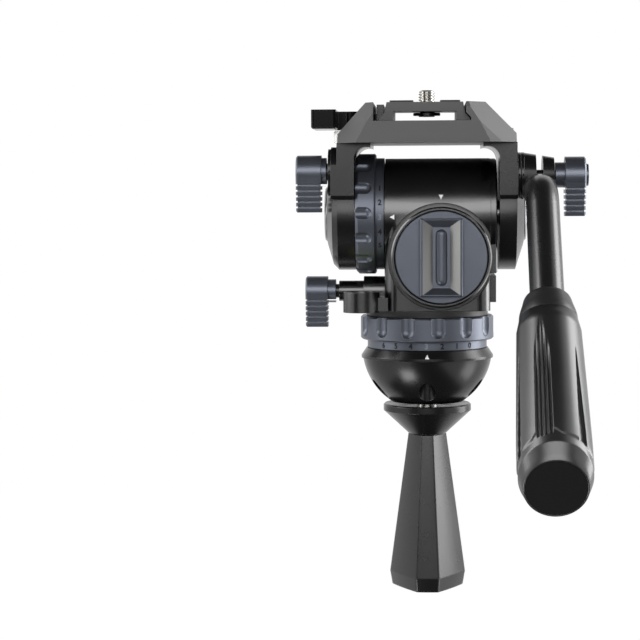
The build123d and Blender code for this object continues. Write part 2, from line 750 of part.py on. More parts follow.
# Counterbalance spring round the axle
spring_left = TILT_CAVITY_RIGHT - SPRING_LENGTH - SPRING_WIRE_R - GAP
with BuildPart() as counterbalance_spring:
    with BuildLine():
        coil = Helix(
            SPRING_PITCH,
            SPRING_LENGTH,
            SPRING_R,
            center=(spring_left, 0, TILT_Z),
            direction=(1, 0, 0),
        )
    with BuildSketch(Plane(origin=coil @ 0, z_dir=coil % 0)):
        Circle(SPRING_WIRE_R)
    sweep(is_frenet=True)
write(counterbalance_spring, "counterbalance_spring")

# End cover on the right of the barrel
with BuildPart() as end_cover:
    with BuildSketch(side_plane(BARREL_RIGHT, 0)):
        with Locations((0, TILT_Z)):
            Circle(COVER_R)
        with Locations((0, (TILT_Z + COVER_LOW) / 2)):
            Rectangle(2 * COVER_HALF, TILT_Z - COVER_LOW)
        with Locations((0, TILT_Z)):
            Circle(AXLE_R + GAP, mode=Mode.SUBTRACT)
            with PolarLocations(COVER_SCREW_RING_R, COVER_SCREW_COUNT):
                Circle(COVER_SCREW_R + SEAT_FIT, mode=Mode.SUBTRACT)
    extrude(amount=COVER_RIGHT - BARREL_RIGHT)
    chamfer(end_cover.faces().sort_by(Axis.X)[-1].outer_wire().edges(), length=LEVER_EDGE)
write(end_cover, "end_cover")

with BuildPart() as cover_screws:
    with BuildSketch(side_plane(BARREL_RIGHT, TILT_Z)):
        with PolarLocations(COVER_SCREW_RING_R, COVER_SCREW_COUNT):
            Circle(COVER_SCREW_R)
            RegularPolygon(COVER_SCREW_R / 2, 6, mode=Mode.SUBTRACT)
    extrude(amount=COVER_RIGHT - BARREL_RIGHT - LEVER_EDGE)
write(cover_screws, "cover_screws")

# Brake disc of the tilt lock, on the end of the left hub
with BuildPart() as tilt_brake_disc:
    with BuildSketch(side_plane(-BRAKE_DISC_LEFT, TILT_Z)):
        Circle(BRAKE_DISC_R)
        Circle(AXLE_R + GAP, mode=Mode.SUBTRACT)
    extrude(amount=BRAKE_DISC_LEFT - TILT_HUB_LEFT)
write(tilt_brake_disc, "tilt_brake_disc")

# Bezel round the dial
dial_back = DIAL_FRONT - DIAL_T
with BuildPart() as dial_bezel:
    with BuildSketch(Plane(origin=(DIAL_X, -BEZEL_FRONT, DIAL_Z), x_dir=(1, 0, 0), z_dir=(0, 1, 0))):
        Circle(BEZEL_R)
        Circle(BEZEL_IN_R, mode=Mode.SUBTRACT)
    extrude(amount=BEZEL_FRONT - body_front + GROOVE_DEPTH)
    chamfer(dial_bezel.faces().sort_by(Axis.Y)[0].outer_wire().edges(), length=LEVER_EDGE)
write(dial_bezel, "dial_bezel")

# Dial: disc, two bars with bevelled ends, a hollow between them and a round rib in it
dial_face = Plane(origin=(DIAL_X, -DIAL_FRONT, DIAL_Z), x_dir=(1, 0, 0), z_dir=(0, -1, 0))
hollow_floor = dial_face.offset(GRIP_BAR_RISE - GRIP_HOLLOW_DEPTH)
with BuildPart() as counterbalance_dial:
    with BuildSketch(dial_face):
        Circle(DIAL_R)
    extrude(amount=-DIAL_T)
    with BuildSketch(dial_face):
        Rectangle(GRIP_BAR_WIDTH, GRIP_BAR_LENGTH)
    extrude(amount=GRIP_BAR_RISE)
    bar_top = counterbalance_dial.faces().sort_by(Axis.Y)[0]
    chamfer(bar_top.outer_wire().edges(), length=GRIP_BAR_EDGE)
    with BuildSketch(dial_face.offset(GRIP_BAR_RISE)):
        Rectangle(GRIP_HOLLOW_WIDTH, GRIP_HOLLOW_LENGTH)
    with BuildSketch(hollow_floor):
        Rectangle(GRIP_FLOOR_WIDTH, GRIP_FLOOR_LENGTH)
    loft(mode=Mode.SUBTRACT)
    with BuildSketch(hollow_floor.offset(-LEVER_EDGE)):
        SlotOverall(GRIP_RIB_LENGTH, GRIP_RIB_WIDTH, rotation=90)
    extrude(amount=GRIP_RIB_RISE + LEVER_EDGE)
    chamfer(
        counterbalance_dial.faces().filter_by(Axis.Y).group_by(Axis.Y)[1].edges(),
        length=LEVER_EDGE,
    )
write(counterbalance_dial, "counterbalance_dial")

with BuildPart() as dial_spindle:
    with BuildSketch(Plane(origin=(DIAL_X, -dial_back, DIAL_Z), x_dir=(1, 0, 0), z_dir=(0, 1, 0))):
        Circle(DIAL_SPINDLE_R)
    extrude(amount=dial_back - body_front + DIAL_SPINDLE_DEPTH - GAP)
write(dial_spindle, "dial_spindle")

# Round bubble level
with BuildPart() as level_vial:
    with BuildSketch(Plane.XY.offset(cup_floor)):
        with Locations((-CUP_X, -CUP_Y)):
            Circle(CUP_R - CUP_WALL - SEAT_FIT)
    extrude(amount=VIAL_H)
write(level_vial, "level_vial")

# Pan-lock shoe with a hollow face against the drum
with BuildPart() as pan_lock_shoe:
    with BuildSketch(side_plane(-DRUM_R - LOCK_SHOE_T, PAN_LOCK_Z)):
        Circle(LOCK_STUD_R)
    extrude(amount=LOCK_SHOE_T)
    with BuildSketch(Plane.XY.offset(DRUM_LOW)):
        Circle(DRUM_R + GAP)
    extrude(amount=DRUM_HIGH - DRUM_LOW, mode=Mode.SUBTRACT)
write(pan_lock_shoe, "pan_lock_shoe")

# Tilt drag ring: scoops open to the left, number band on the right
scoop_cut_r = ring_cut_radius(SCOOP_WIDTH, SCOOP_DEPTH)
scoop_axis_r = TILT_RING_R - SCOOP_DEPTH + scoop_cut_r
tilt_ring_inside = TILT_HUB_R + 2 * RUN_FIT
with BuildPart(Plane(origin=(0, 0, TILT_Z), x_dir=(0, 0, -1), z_dir=(1, 0, 0))) as tilt_drag_ring:
    with BuildSketch(Plane(origin=(0, 0, TILT_Z), x_dir=(1, 0, 0), z_dir=(0, -1, 0))):
        with BuildLine():
            Polyline(
                (-TILT_RING_LEFT, tilt_ring_inside),
                (-TILT_RING_LEFT, TILT_RING_R - TILT_RING_CHAMFER),
                (-TILT_RING_LEFT + TILT_RING_CHAMFER, TILT_RING_R),
                (-TILT_RING_STEP - RING_EDGE, TILT_RING_R),
                (-TILT_RING_STEP, TILT_RING_R - RING_EDGE),
                (-TILT_RING_STEP, TILT_BAND_R),
                (-TILT_RING_RIGHT, TILT_BAND_R),
                (-TILT_RING_RIGHT, tilt_ring_inside),
                close=True,
            )
        make_face()
    revolve(axis=Axis((0, 0, TILT_Z), (1, 0, 0)))
    with PolarLocations(scoop_axis_r, SCOOP_COUNT, start_angle=FRONT_ANGLE - SCOOP_TURN):
        with Locations((0, 0, -SCOOP_END - SCOOP_WIDTH / 2)):
            Sphere(scoop_cut_r, mode=Mode.SUBTRACT)
            Cylinder(
                scoop_cut_r,
                TILT_RING_LEFT - SCOOP_END,
                align=(Align.CENTER, Align.CENTER, Align.MAX),
                mode=Mode.SUBTRACT,
            )
write(tilt_drag_ring, "tilt_drag_ring")

# Tilt axle
with BuildPart() as tilt_axle:
    with BuildSketch(side_plane(-RIGHT_DOME_RIM_X, TILT_Z)):
        Circle(AXLE_R)
    extrude(amount=2 * RIGHT_DOME_RIM_X)
write(tilt_axle, "tilt_axle")


def arm_part(side, lobe_z, lobe_out, dome_rim_x, dome_top_x):
    # One tilt arm: domed lower lobe, rosette lobe in front, flared top under the frame
    with BuildPart() as arm:
        with BuildSketch(Plane(origin=(0, 0, TILT_Z), x_dir=(side, 0, 0), z_dir=(0, -side, 0))):
            with BuildLine():
                Polyline(
                    (ARM_IN, 0),
                    (ARM_IN, ARM_R),
                    (LOBE_FACE, ARM_R),
                    (dome_rim_x, DOME_RIM_R),
                    (dome_top_x, DOME_TOP_R),
                    (dome_top_x, HUB_COVER_R + SEAT_FIT),
                    (dome_top_x - HUB_SEAT_DEPTH, HUB_COVER_R + SEAT_FIT),
                    (dome_top_x - HUB_SEAT_DEPTH, 0),
                    close=True,
                )
            make_face()
        revolve(axis=Axis((0, 0, TILT_Z), (1, 0, 0)))
        inner_side = side_plane(side * ARM_IN, 0)
        with BuildSketch(inner_side):
            Polygon(
                (-ARM_TOP_HALF, FRAME_LOW),
                (-ARM_TOP_HALF, lobe_z),
                (0, TILT_Z),
                (ARM_REAR_ROOT, TILT_Z),
                (ARM_TOP_HALF, ARM_REAR_LOW),
                (ARM_TOP_HALF, FRAME_LOW),
                align=None,
            )
        extrude(amount=side * (LOBE_FACE - ARM_IN))
        with BuildSketch(inner_side):
            with Locations((-ROSETTE_Y, lobe_z)):
                Circle(LOBE_R)
            Polygon(
                (-ARM_TOP_HALF, lobe_z + LOBE_FRONT_RISE),
                (-ARM_TOP_HALF, LOBE_FRONT_LOW + LOBE_CORNER),
                (-ARM_TOP_HALF + LOBE_CORNER, LOBE_FRONT_LOW),
                (-ROSETTE_Y, LOBE_FRONT_LOW),
                (-ROSETTE_Y, lobe_z + LOBE_FRONT_RISE),
                align=None,
            )
        extrude(amount=side * (lobe_out - ARM_IN))
        # Room round the rosette in the dome
        with BuildSketch(inner_side.offset(side * (lobe_out - ARM_IN))):
            with Locations((-ROSETTE_Y, lobe_z)):
                Circle(ROSETTE_R + 2 * GAP)
        extrude(amount=side * ARM_OUT, mode=Mode.SUBTRACT)
        with BuildSketch(Plane(origin=(0, -ARM_TOP_HALF, 0), x_dir=(1, 0, 0), z_dir=(0, -1, 0))):
            with BuildLine():
                TangentArc((side * ARM_IN, FLARE_LOW), (side * FLARE_IN, FLARE_SIDE), tangent=(0, 1))
                Polyline(
                    (side * FLARE_IN, FLARE_SIDE),
                    (side * FLARE_IN, FRAME_LOW),
                    (side * LOBE_FACE, FRAME_LOW),
                    (side * LOBE_FACE, FLARE_LOW),
                    (side * ARM_IN, FLARE_LOW),
                )
            make_face()
        extrude(amount=-2 * ARM_TOP_HALF)
        # Way for the axle
        with BuildSketch(inner_side):
            with Locations((0, TILT_Z)):
                Circle(AXLE_R + SEAT_FIT)
        extrude(amount=side * (RIGHT_DOME_RIM_X - ARM_IN), mode=Mode.SUBTRACT)
        # Holes of the frame bolts
        with BuildSketch(Plane.XY.offset(FRAME_LOW - FRAME_BOLT_REACH - GAP)):
            with Locations((side * FRAME_BOLT_X, -FRAME_BOLT_Y), (side * FRAME_BOLT_X, FRAME_BOLT_Y)):
                Circle(FRAME_BOLT_R + SEAT_FIT)
        extrude(amount=FRAME_BOLT_REACH + GAP + OVERRUN, mode=Mode.SUBTRACT)
    return arm


left_arm = arm_part(-1, LEFT_LOBE_Z, ARM_OUT, LEFT_DOME_RIM_X, LEFT_DOME_TOP_X)
lobe_reach = math.hypot(ROSETTE_Y, LEFT_LOBE_Z - TILT_Z)
shoe_dir = Vector(0, -ROSETTE_Y, LEFT_LOBE_Z - TILT_Z).normalized()
shoe_x = -(DISC_RECESS_X + ARM_IN) / 2
shoe_start = Vector(shoe_x, 0, TILT_Z) + shoe_dir * (BRAKE_DISC_R + GAP)
shoe_plane = Plane(origin=shoe_start, x_dir=(1, 0, 0), z_dir=shoe_dir)
stud_plane = Plane(origin=(-TILT_STUD_TIP, -ROSETTE_Y, LEFT_LOBE_Z), x_dir=(0, 1, 0), z_dir=(-1, 0, 0))
with BuildPart() as left_arm_cut:
    add(left_arm.part)
    with BuildSketch(Plane(origin=(-ARM_IN + OVERRUN, 0, TILT_Z), x_dir=(0, 1, 0), z_dir=(-1, 0, 0))):
        Circle(DISC_RECESS_R)
    extrude(amount=OVERRUN + DISC_RECESS_X - ARM_IN, mode=Mode.SUBTRACT)
    with BuildSketch(stud_plane.offset(-GAP)):
        Circle(TILT_STUD_R + RUN_FIT)
    extrude(amount=TILT_KNOB_LEFT, mode=Mode.SUBTRACT)
    with BuildSketch(shoe_plane.offset(-OVERRUN)):
        Circle(SHOE_PIN_R + SEAT_FIT)
    extrude(amount=lobe_reach - BRAKE_DISC_R, mode=Mode.SUBTRACT)
write(left_arm_cut, "left_arm")

right_arm = arm_part(1, RIGHT_LOBE_Z, RIGHT_LOBE_OUT, RIGHT_DOME_RIM_X, RIGHT_DOME_TOP_X)
bar_stud_plane = Plane(origin=(BAR_STUD_TIP, -ROSETTE_Y, RIGHT_LOBE_Z), x_dir=(0, 1, 0), z_dir=(1, 0, 0))
with BuildPart() as right_arm_cut:
    add(right_arm.part)
    with BuildSketch(bar_stud_plane.offset(-GAP)):
        Circle(BAR_STUD_R + RUN_FIT)
    extrude(amount=BAR_KNOB_RIGHT, mode=Mode.SUBTRACT)
write(right_arm_cut, "right_arm")

# Brake shoe pin of the tilt lock, between the disc and the stud
with BuildPart() as tilt_brake_shoe:
    with BuildSketch(shoe_plane):
        Circle(SHOE_PIN_R)
    extrude(amount=lobe_reach - TILT_STUD_R - BRAKE_DISC_R - 2 * GAP)
write(tilt_brake_shoe, "tilt_brake_shoe")

# Covers over the axle's ends and their small screws
def hub_seat_plane(side, top_x):
    # Floor of the round seat in a dome, normal outwards
    return Plane(origin=(side * (top_x - HUB_SEAT_DEPTH), 0, TILT_Z), x_dir=(0, 1, 0), z_dir=(side, 0, 0))


hub_covers = (("left_hub_cover", -1, LEFT_DOME_TOP_X), ("right_hub_cover", 1, RIGHT_DOME_TOP_X))
for name, side, top_x in hub_covers:
    with BuildPart() as hub_cover:
        with BuildSketch(hub_seat_plane(side, top_x)):
            Circle(HUB_COVER_R)
            with PolarLocations(COVER_CAP_RING_R, COVER_CAP_COUNT, start_angle=FRONT_ANGLE):
                Circle(COVER_CAP_SCREW_R + SEAT_FIT, mode=Mode.SUBTRACT)
        extrude(amount=HUB_COVER_RISE + HUB_SEAT_DEPTH)
        outer_face = hub_cover.faces().sort_by(Axis.X)[0 if side < 0 else -1]
        chamfer(outer_face.outer_wire().edges(), length=LEVER_EDGE)
    write(hub_cover, name)

with BuildPart() as hub_cover_screws:
    for name, side, top_x in hub_covers:
        with BuildSketch(hub_seat_plane(side, top_x)):
            with PolarLocations(COVER_CAP_RING_R, COVER_CAP_COUNT, start_angle=FRONT_ANGLE):
                Circle(COVER_CAP_SCREW_R)
        extrude(amount=HUB_COVER_RISE + HUB_SEAT_DEPTH)
write(hub_cover_screws, "hub_cover_screws")


def rosette(plane, bore_r):
    # Toothed ring; the plane lies on its back and its normal points the way the teeth face
    with BuildPart() as ring:
        with BuildSketch(plane):
            Circle(ROSETTE_R)
            Circle(bore_r, mode=Mode.SUBTRACT)
        extrude(amount=ROSETTE_T)
        tooth_half = math.pi * ROSETTE_R / ROSETTE_TEETH
        for tooth in range(ROSETTE_TEETH):
            turn = plane.rotated((0, 0, 360 * tooth / ROSETTE_TEETH))
            valley = Plane(
                origin=turn.from_local_coords((ROSETTE_ROOT_R, 0, ROSETTE_T)),
                x_dir=turn.y_dir,
                z_dir=turn.x_dir,
            )
            with BuildSketch(valley):
                Polygon((-tooth_half, 0), (tooth_half, 0), (0, -ROSETTE_TOOTH), align=None)
            extrude(amount=ROSETTE_R, mode=Mode.SUBTRACT)
    return ring


left_face = Plane(origin=(-ARM_OUT, -ROSETTE_Y, LEFT_LOBE_Z), x_dir=(0, 1, 0), z_dir=(-1, 0, 0))
right_face = Plane(origin=(RIGHT_LOBE_OUT, -ROSETTE_Y, RIGHT_LOBE_Z), x_dir=(0, 1, 0), z_dir=(1, 0, 0))
clamp_face = Plane(origin=(CLAMP_LEFT + GAP, -ROSETTE_Y, RIGHT_LOBE_Z), x_dir=(0, 1, 0), z_dir=(-1, 0, 0))
write(rosette(left_face, TILT_STUD_R + RUN_FIT), "left_rosette")
write(rosette(right_face, BAR_STUD_R + RUN_FIT), "right_rosette")
write(rosette(clamp_face, BAR_STUD_R + RUN_FIT), "bar_rosette")


def facet_plane(a, b, c, outside):
    # Plane through three points, its normal on the side of the point outside
    normal = (Vector(*b) - Vector(*a)).cross(Vector(*c) - Vector(*a)).normalized()
    if normal.dot(Vector(*outside) - Vector(*a)) < 0:
        normal = -normal
    return Plane(origin=a, z_dir=normal)


# Top frame: sloped rails, cross floor, facetted corners
with BuildPart() as top_frame:
    with BuildSketch(Plane(origin=(0, FRAME_LENGTH_HALF, 0), x_dir=(1, 0, 0), z_dir=(0, -1, 0))):
        Polygon(
            (-FRAME_HALF, FRAME_LOW),
            (FRAME_HALF, FRAME_LOW),
            (FRAME_HALF, FRAME_SIDE_TOP),
            (RIGHT_RAIL_TOP_OUT, FRAME_TOP),
            (RIGHT_RAIL_IN, FRAME_TOP),
            (RIGHT_RAIL_IN, DOVETAIL_Z),
            (RIGHT_RAIL_UNDERCUT, DOVETAIL_Z - PLATE_FOOT),
            (RIGHT_RAIL_UNDERCUT, FRAME_FLOOR),
            (-LEFT_RAIL_IN, FRAME_FLOOR),
            (-LEFT_RAIL_IN, FRAME_TOP),
            (-LEFT_RAIL_TOP_OUT, FRAME_TOP),
            (-FRAME_HALF, FRAME_SIDE_TOP),
            align=None,
        )
    extrude(amount=2 * FRAME_LENGTH_HALF)
    for end in (-1, 1):
        beam_y = end * FRAME_LENGTH_HALF
        for side, low_x, top_x in (
            (-1, LEFT_CORNER_LOW_X, LEFT_CORNER_TOP_X),
            (1, RIGHT_CORNER_LOW_X, RIGHT_CORNER_TOP_X),
        ):
            outside = (side * 2 * FRAME_HALF, 2 * beam_y, FRAME_SIDE_TOP)
            low = (side * FRAME_HALF, end * CORNER_SIDE_Y, FRAME_LOW)
            front = (side * low_x, beam_y, FRAME_LOW)
            shoulder = (side * top_x, beam_y, FRAME_FLOOR)
            split(bisect_by=facet_plane(low, front, shoulder, outside), keep=Keep.BOTTOM)
            corner = (side * FRAME_HALF, end * CORNER_SIDE_Y, FRAME_SIDE_TOP)
            crest = (side * LEFT_RAIL_IN, end * RAIL_END_Y, FRAME_TOP)
            above = (side * FRAME_HALF, 2 * beam_y, 2 * FRAME_TOP)
            split(bisect_by=facet_plane(corner, shoulder, crest, above), keep=Keep.BOTTOM)
    for end in (0, -1):
        end_face = top_frame.faces().sort_by(Axis.Y)[end]
        floor_edge = end_face.edges().filter_by(Axis.X).sort_by(Axis.Z)[-1]
        chamfer(floor_edge, length=BEAM_CHAMFER_H, length2=BEAM_CHAMFER_W, reference=end_face)
    # Long recess in the front facet of the right rail
    facet = facet_plane(
        (FRAME_HALF, -CORNER_SIDE_Y, FRAME_SIDE_TOP),
        (RIGHT_CORNER_TOP_X, -FRAME_LENGTH_HALF, FRAME_FLOOR),
        (LEFT_RAIL_IN, -RAIL_END_Y, FRAME_TOP),
        (FRAME_HALF, -2 * FRAME_LENGTH_HALF, 2 * FRAME_TOP),
    )
    recess = Plane(
        origin=(RAIL_SLOT_X, -RAIL_SLOT_Y, RAIL_SLOT_Z),
        x_dir=RAIL_SLOT_DIR,
        z_dir=facet.z_dir,
    )
    with BuildSketch(recess.offset(-RAIL_SLOT_DEPTH)):
        SlotOverall(RAIL_SLOT_LENGTH, RAIL_SLOT_WIDTH)
    extrude(amount=2 * RAIL_SLOT_DEPTH, mode=Mode.SUBTRACT)
    # Pocket of the lever in the left rail and the window of the jaw's tail
    cam_room = LEVER_CAM_R + LEVER_CAM_OFFSET + POCKET_GAP
    with BuildSketch(Plane.XY.offset(LEVER_LOW - POCKET_GAP)):
        with Locations((-(FRAME_HALF + OVERRUN + LEVER_PIVOT_X - cam_room) / 2, LEVER_PIVOT_Y)):
            Rectangle(FRAME_HALF + OVERRUN - LEVER_PIVOT_X + cam_room, 2 * cam_room)
    extrude(amount=LEVER_HIGH - LEVER_LOW + 2 * POCKET_GAP, mode=Mode.SUBTRACT)
    with BuildSketch(Plane.XY.offset(JAW_TAIL_LOW - POCKET_GAP)):
        with Locations((-(LEVER_PIVOT_X + LEFT_RAIL_IN) / 2, LEVER_PIVOT_Y)):
            Rectangle(LEVER_PIVOT_X - LEFT_RAIL_IN + OVERRUN, 2 * JAW_TAIL_HALF + 2 * POCKET_GAP)
    extrude(amount=JAW_TAIL_HIGH - JAW_TAIL_LOW + 2 * POCKET_GAP, mode=Mode.SUBTRACT)
    with BuildSketch(Plane.XY.offset(LEVER_PIN_LOW)):
        with Locations((-LEVER_PIVOT_X, LEVER_PIVOT_Y)):
            Circle(LEVER_PIN_R + SEAT_FIT)
    extrude(amount=FRAME_TOP - LEVER_PIN_LOW, mode=Mode.SUBTRACT)
    # Bolt holes down into the arms
    for side in (-1, 1):
        with BuildSketch(Plane.XY.offset(FRAME_LOW - OVERRUN)):
            with Locations((side * FRAME_BOLT_X, -FRAME_BOLT_Y), (side * FRAME_BOLT_X, FRAME_BOLT_Y)):
                Circle(FRAME_BOLT_R + SEAT_FIT)
        extrude(amount=FRAME_TOP, mode=Mode.SUBTRACT)
        with BuildSketch(Plane.XY.offset(FRAME_SIDE_TOP)):
            with Locations((side * FRAME_BOLT_X, -FRAME_BOLT_Y), (side * FRAME_BOLT_X, FRAME_BOLT_Y)):
                Circle(FRAME_BOLT_HEAD_R + SEAT_FIT)
        extrude(amount=FRAME_TOP, mode=Mode.SUBTRACT)
write(top_frame, "top_frame")

# Bolts between frame and arms, heads sunk in the slopes
with BuildPart() as frame_bolts:
    for side in (-1, 1):
        for low, high, radius in (
            (FRAME_LOW - FRAME_BOLT_REACH, FRAME_SIDE_TOP, FRAME_BOLT_R),
            (FRAME_SIDE_TOP, FRAME_SIDE_TOP + FRAME_BOLT_HEAD_H, FRAME_BOLT_HEAD_R),
        ):
            with BuildSketch(Plane.XY.offset(low)):
                with Locations((side * FRAME_BOLT_X, -FRAME_BOLT_Y), (side * FRAME_BOLT_X, FRAME_BOLT_Y)):
                    Circle(radius)
            extrude(amount=high - low)
write(frame_bolts, "frame_bolts")

# Jaw along the left rail, with the tail that the cam pushes
jaw_low = FRAME_FLOOR + GAP
with BuildPart() as plate_jaw:
    with BuildSketch(Plane(origin=(0, JAW_HALF, 0), x_dir=(1, 0, 0), z_dir=(0, -1, 0))):
        Polygon(
            (-JAW_OUT, jaw_low),
            (-JAW_OUT, JAW_TOP),
            (-JAW_IN, JAW_TOP),
            (-JAW_IN, DOVETAIL_Z),
            (-JAW_IN - JAW_FOOT_SLOPE, jaw_low),
            align=None,
        )
    extrude(amount=2 * JAW_HALF)
    with BuildSketch(Plane.XY.offset(JAW_TAIL_LOW)):
        tail_end = LEVER_PIVOT_X - LEVER_CAM_R - LEVER_CAM_OFFSET - GAP
        with Locations((-(tail_end + JAW_OUT) / 2, LEVER_PIVOT_Y)):
            Rectangle(tail_end - JAW_OUT, 2 * JAW_TAIL_HALF)
    extrude(amount=JAW_TAIL_HIGH - JAW_TAIL_LOW)
write(plate_jaw, "plate_jaw")

# Lever: cam round the pin, paddle along the rail
with BuildPart() as plate_lever:
    with BuildSketch(Plane.XY.offset(LEVER_LOW)):
        with Locations((-(LEVER_OUT + LEVER_IN) / 2, (LEVER_REAR - LEVER_FRONT) / 2)):
            RectangleRounded(LEVER_OUT - LEVER_IN, LEVER_REAR + LEVER_FRONT, LEVER_ROUND)
        neck_in = LEVER_IN + LEVER_ROUND
        with Locations((-(LEVER_PIVOT_X + neck_in) / 2, LEVER_REAR - (LEVER_NECK + LEVER_ROUND) / 2)):
            Rectangle(neck_in - LEVER_PIVOT_X, LEVER_NECK - LEVER_ROUND)
        with Locations((-LEVER_PIVOT_X + LEVER_CAM_OFFSET, LEVER_PIVOT_Y)):
            Circle(LEVER_CAM_R)
        with Locations((-LEVER_PIVOT_X, LEVER_PIVOT_Y)):
            Circle(LEVER_PIN_R + RUN_FIT, mode=Mode.SUBTRACT)
    extrude(amount=LEVER_HIGH - LEVER_LOW)
    chamfer(plate_lever.faces().filter_by(Axis.Z).sort_by(Axis.Z)[0].outer_wire().edges(), length=LEVER_EDGE)
write(plate_lever, "plate_lever")

with BuildPart() as lever_pin:
    with BuildSketch(Plane.XY.offset(LEVER_PIN_LOW)):
        with Locations((-LEVER_PIVOT_X, LEVER_PIVOT_Y)):
            Circle(LEVER_PIN_R)
    extrude(amount=LEVER_HIGH - LEVER_PIN_LOW)
write(lever_pin, "lever_pin")

with BuildPart() as lever_stop:
    with BuildSketch(Plane.XY.offset(STOP_LOW)):
        with Locations((-(STOP_OUT + FRAME_HALF) / 2, 0)):
            Rectangle(STOP_OUT - FRAME_HALF, 2 * STOP_HALF)
    extrude(amount=STOP_HIGH - STOP_LOW)
    chamfer(lever_stop.edges().filter_by(Axis.Y).group_by(Axis.X)[0], length=LEVER_EDGE)
write(lever_stop, "lever_stop")

# Camera plate: a channel with dovetail feet, a front lip and a slot for the screw
plate_low = FRAME_FLOOR + GAP
plate_middle = (PLATE_TOP_RIGHT - PLATE_TOP_LEFT) / 2
with BuildPart() as camera_plate:
    with BuildSketch(Plane(origin=(0, PLATE_REAR, 0), x_dir=(1, 0, 0), z_dir=(0, -1, 0))):
        Polygon(
            (-PLATE_LEFT - PLATE_FOOT, plate_low),
            (-PLATE_LEFT - PLATE_FOOT, plate_low + PLATE_FOOT_H),
            (-PLATE_LEFT, plate_low + PLATE_FOOT_H + PLATE_FOOT),
            (-PLATE_TOP_LEFT, FRAME_TOP),
            (PLATE_TOP_RIGHT, FRAME_TOP),
            (PLATE_RIGHT, plate_low + PLATE_FOOT_H + PLATE_FOOT),
            (PLATE_RIGHT + PLATE_FOOT, plate_low + PLATE_FOOT_H),
            (PLATE_RIGHT + PLATE_FOOT, plate_low),
            (PLATE_TOP_RIGHT - PLATE_LEG, plate_low),
            (PLATE_TOP_RIGHT - PLATE_LEG, FRAME_TOP - PLATE_SHEET),
            (-PLATE_TOP_LEFT + PLATE_LEG, FRAME_TOP - PLATE_SHEET),
            (-PLATE_TOP_LEFT + PLATE_LEG, plate_low),
            align=None,
        )
    extrude(amount=PLATE_REAR + PLATE_FRONT)
    with BuildSketch(Plane.XY.offset(PLATE_LIP_LOW)):
        with Locations((plate_middle, -PLATE_FRONT + PLATE_LIP_T / 2)):
            Rectangle(PLATE_TOP_LEFT + PLATE_TOP_RIGHT - PLATE_LEG, PLATE_LIP_T)
    extrude(amount=FRAME_TOP - PLATE_LIP_LOW)
    with BuildSketch(Plane.XY.offset(FRAME_TOP + OVERRUN)):
        with Locations((0, (SLOT_REAR - SLOT_FRONT) / 2)):
            SlotOverall(SLOT_REAR + SLOT_FRONT, 2 * SLOT_HALF_WIDTH, rotation=90)
    extrude(amount=-PLATE_SHEET - 2 * OVERRUN, mode=Mode.SUBTRACT)
write(camera_plate, "camera_plate")

# Two rubber pads beside the slot
with BuildPart() as plate_pads:
    for low_x, high_x in (
        (-PLATE_TOP_LEFT + PAD_EDGE, -SLOT_HALF_WIDTH - PAD_EDGE),
        (SLOT_HALF_WIDTH + PAD_EDGE, PLATE_TOP_RIGHT - PAD_EDGE),
    ):
        with BuildSketch(Plane.XY.offset(FRAME_TOP)):
            with Locations(((low_x + high_x) / 2, (PLATE_REAR - PLATE_FRONT) / 2)):
                RectangleRounded(high_x - low_x, PLATE_REAR + PLATE_FRONT - 2 * PAD_EDGE, PAD_EDGE)
        extrude(amount=PAD_H)
write(plate_pads, "plate_pads")

# Camera screw, and the washer that slides with it
washer_top = FRAME_TOP - PLATE_SHEET - GAP
flange_top = washer_top - WASHER_T - GAP
with BuildPart() as screw_washer:
    with BuildSketch(Plane.XY.offset(washer_top)):
        Circle(WASHER_R)
        Circle(SCREW_NECK_R + RUN_FIT, mode=Mode.SUBTRACT)
    extrude(amount=-WASHER_T)
write(screw_washer, "screw_washer")

with BuildPart() as camera_screw:
    with BuildSketch(Plane.XZ):
        with BuildLine():
            Polyline(
                (0, SCREW_HEAD_LOW),
                (SCREW_HEAD_R, SCREW_HEAD_LOW),
                (SCREW_HEAD_R, flange_top - SCREW_FLANGE_T),
                (SCREW_FLANGE_R, flange_top - SCREW_FLANGE_T),
                (SCREW_FLANGE_R, flange_top),
                (SCREW_NECK_R, flange_top),
                (SCREW_NECK_R, SCREW_THREAD_LOW),
                (SCREW_R, SCREW_THREAD_LOW),
                (SCREW_R, SCREW_TOP - LEVER_EDGE),
                (SCREW_R - LEVER_EDGE, SCREW_TOP),
                (0, SCREW_TOP),
                close=True,
            )
        make_face()
    revolve(axis=Axis.Z)
    with BuildSketch(Plane.XY.offset(SCREW_HEAD_LOW)):
        Rectangle(2 * SCREW_FLANGE_R, SCREW_SLOT_W)
    extrude(amount=SCREW_SLOT_DEPTH, mode=Mode.SUBTRACT)
write(camera_screw, "camera_screw")


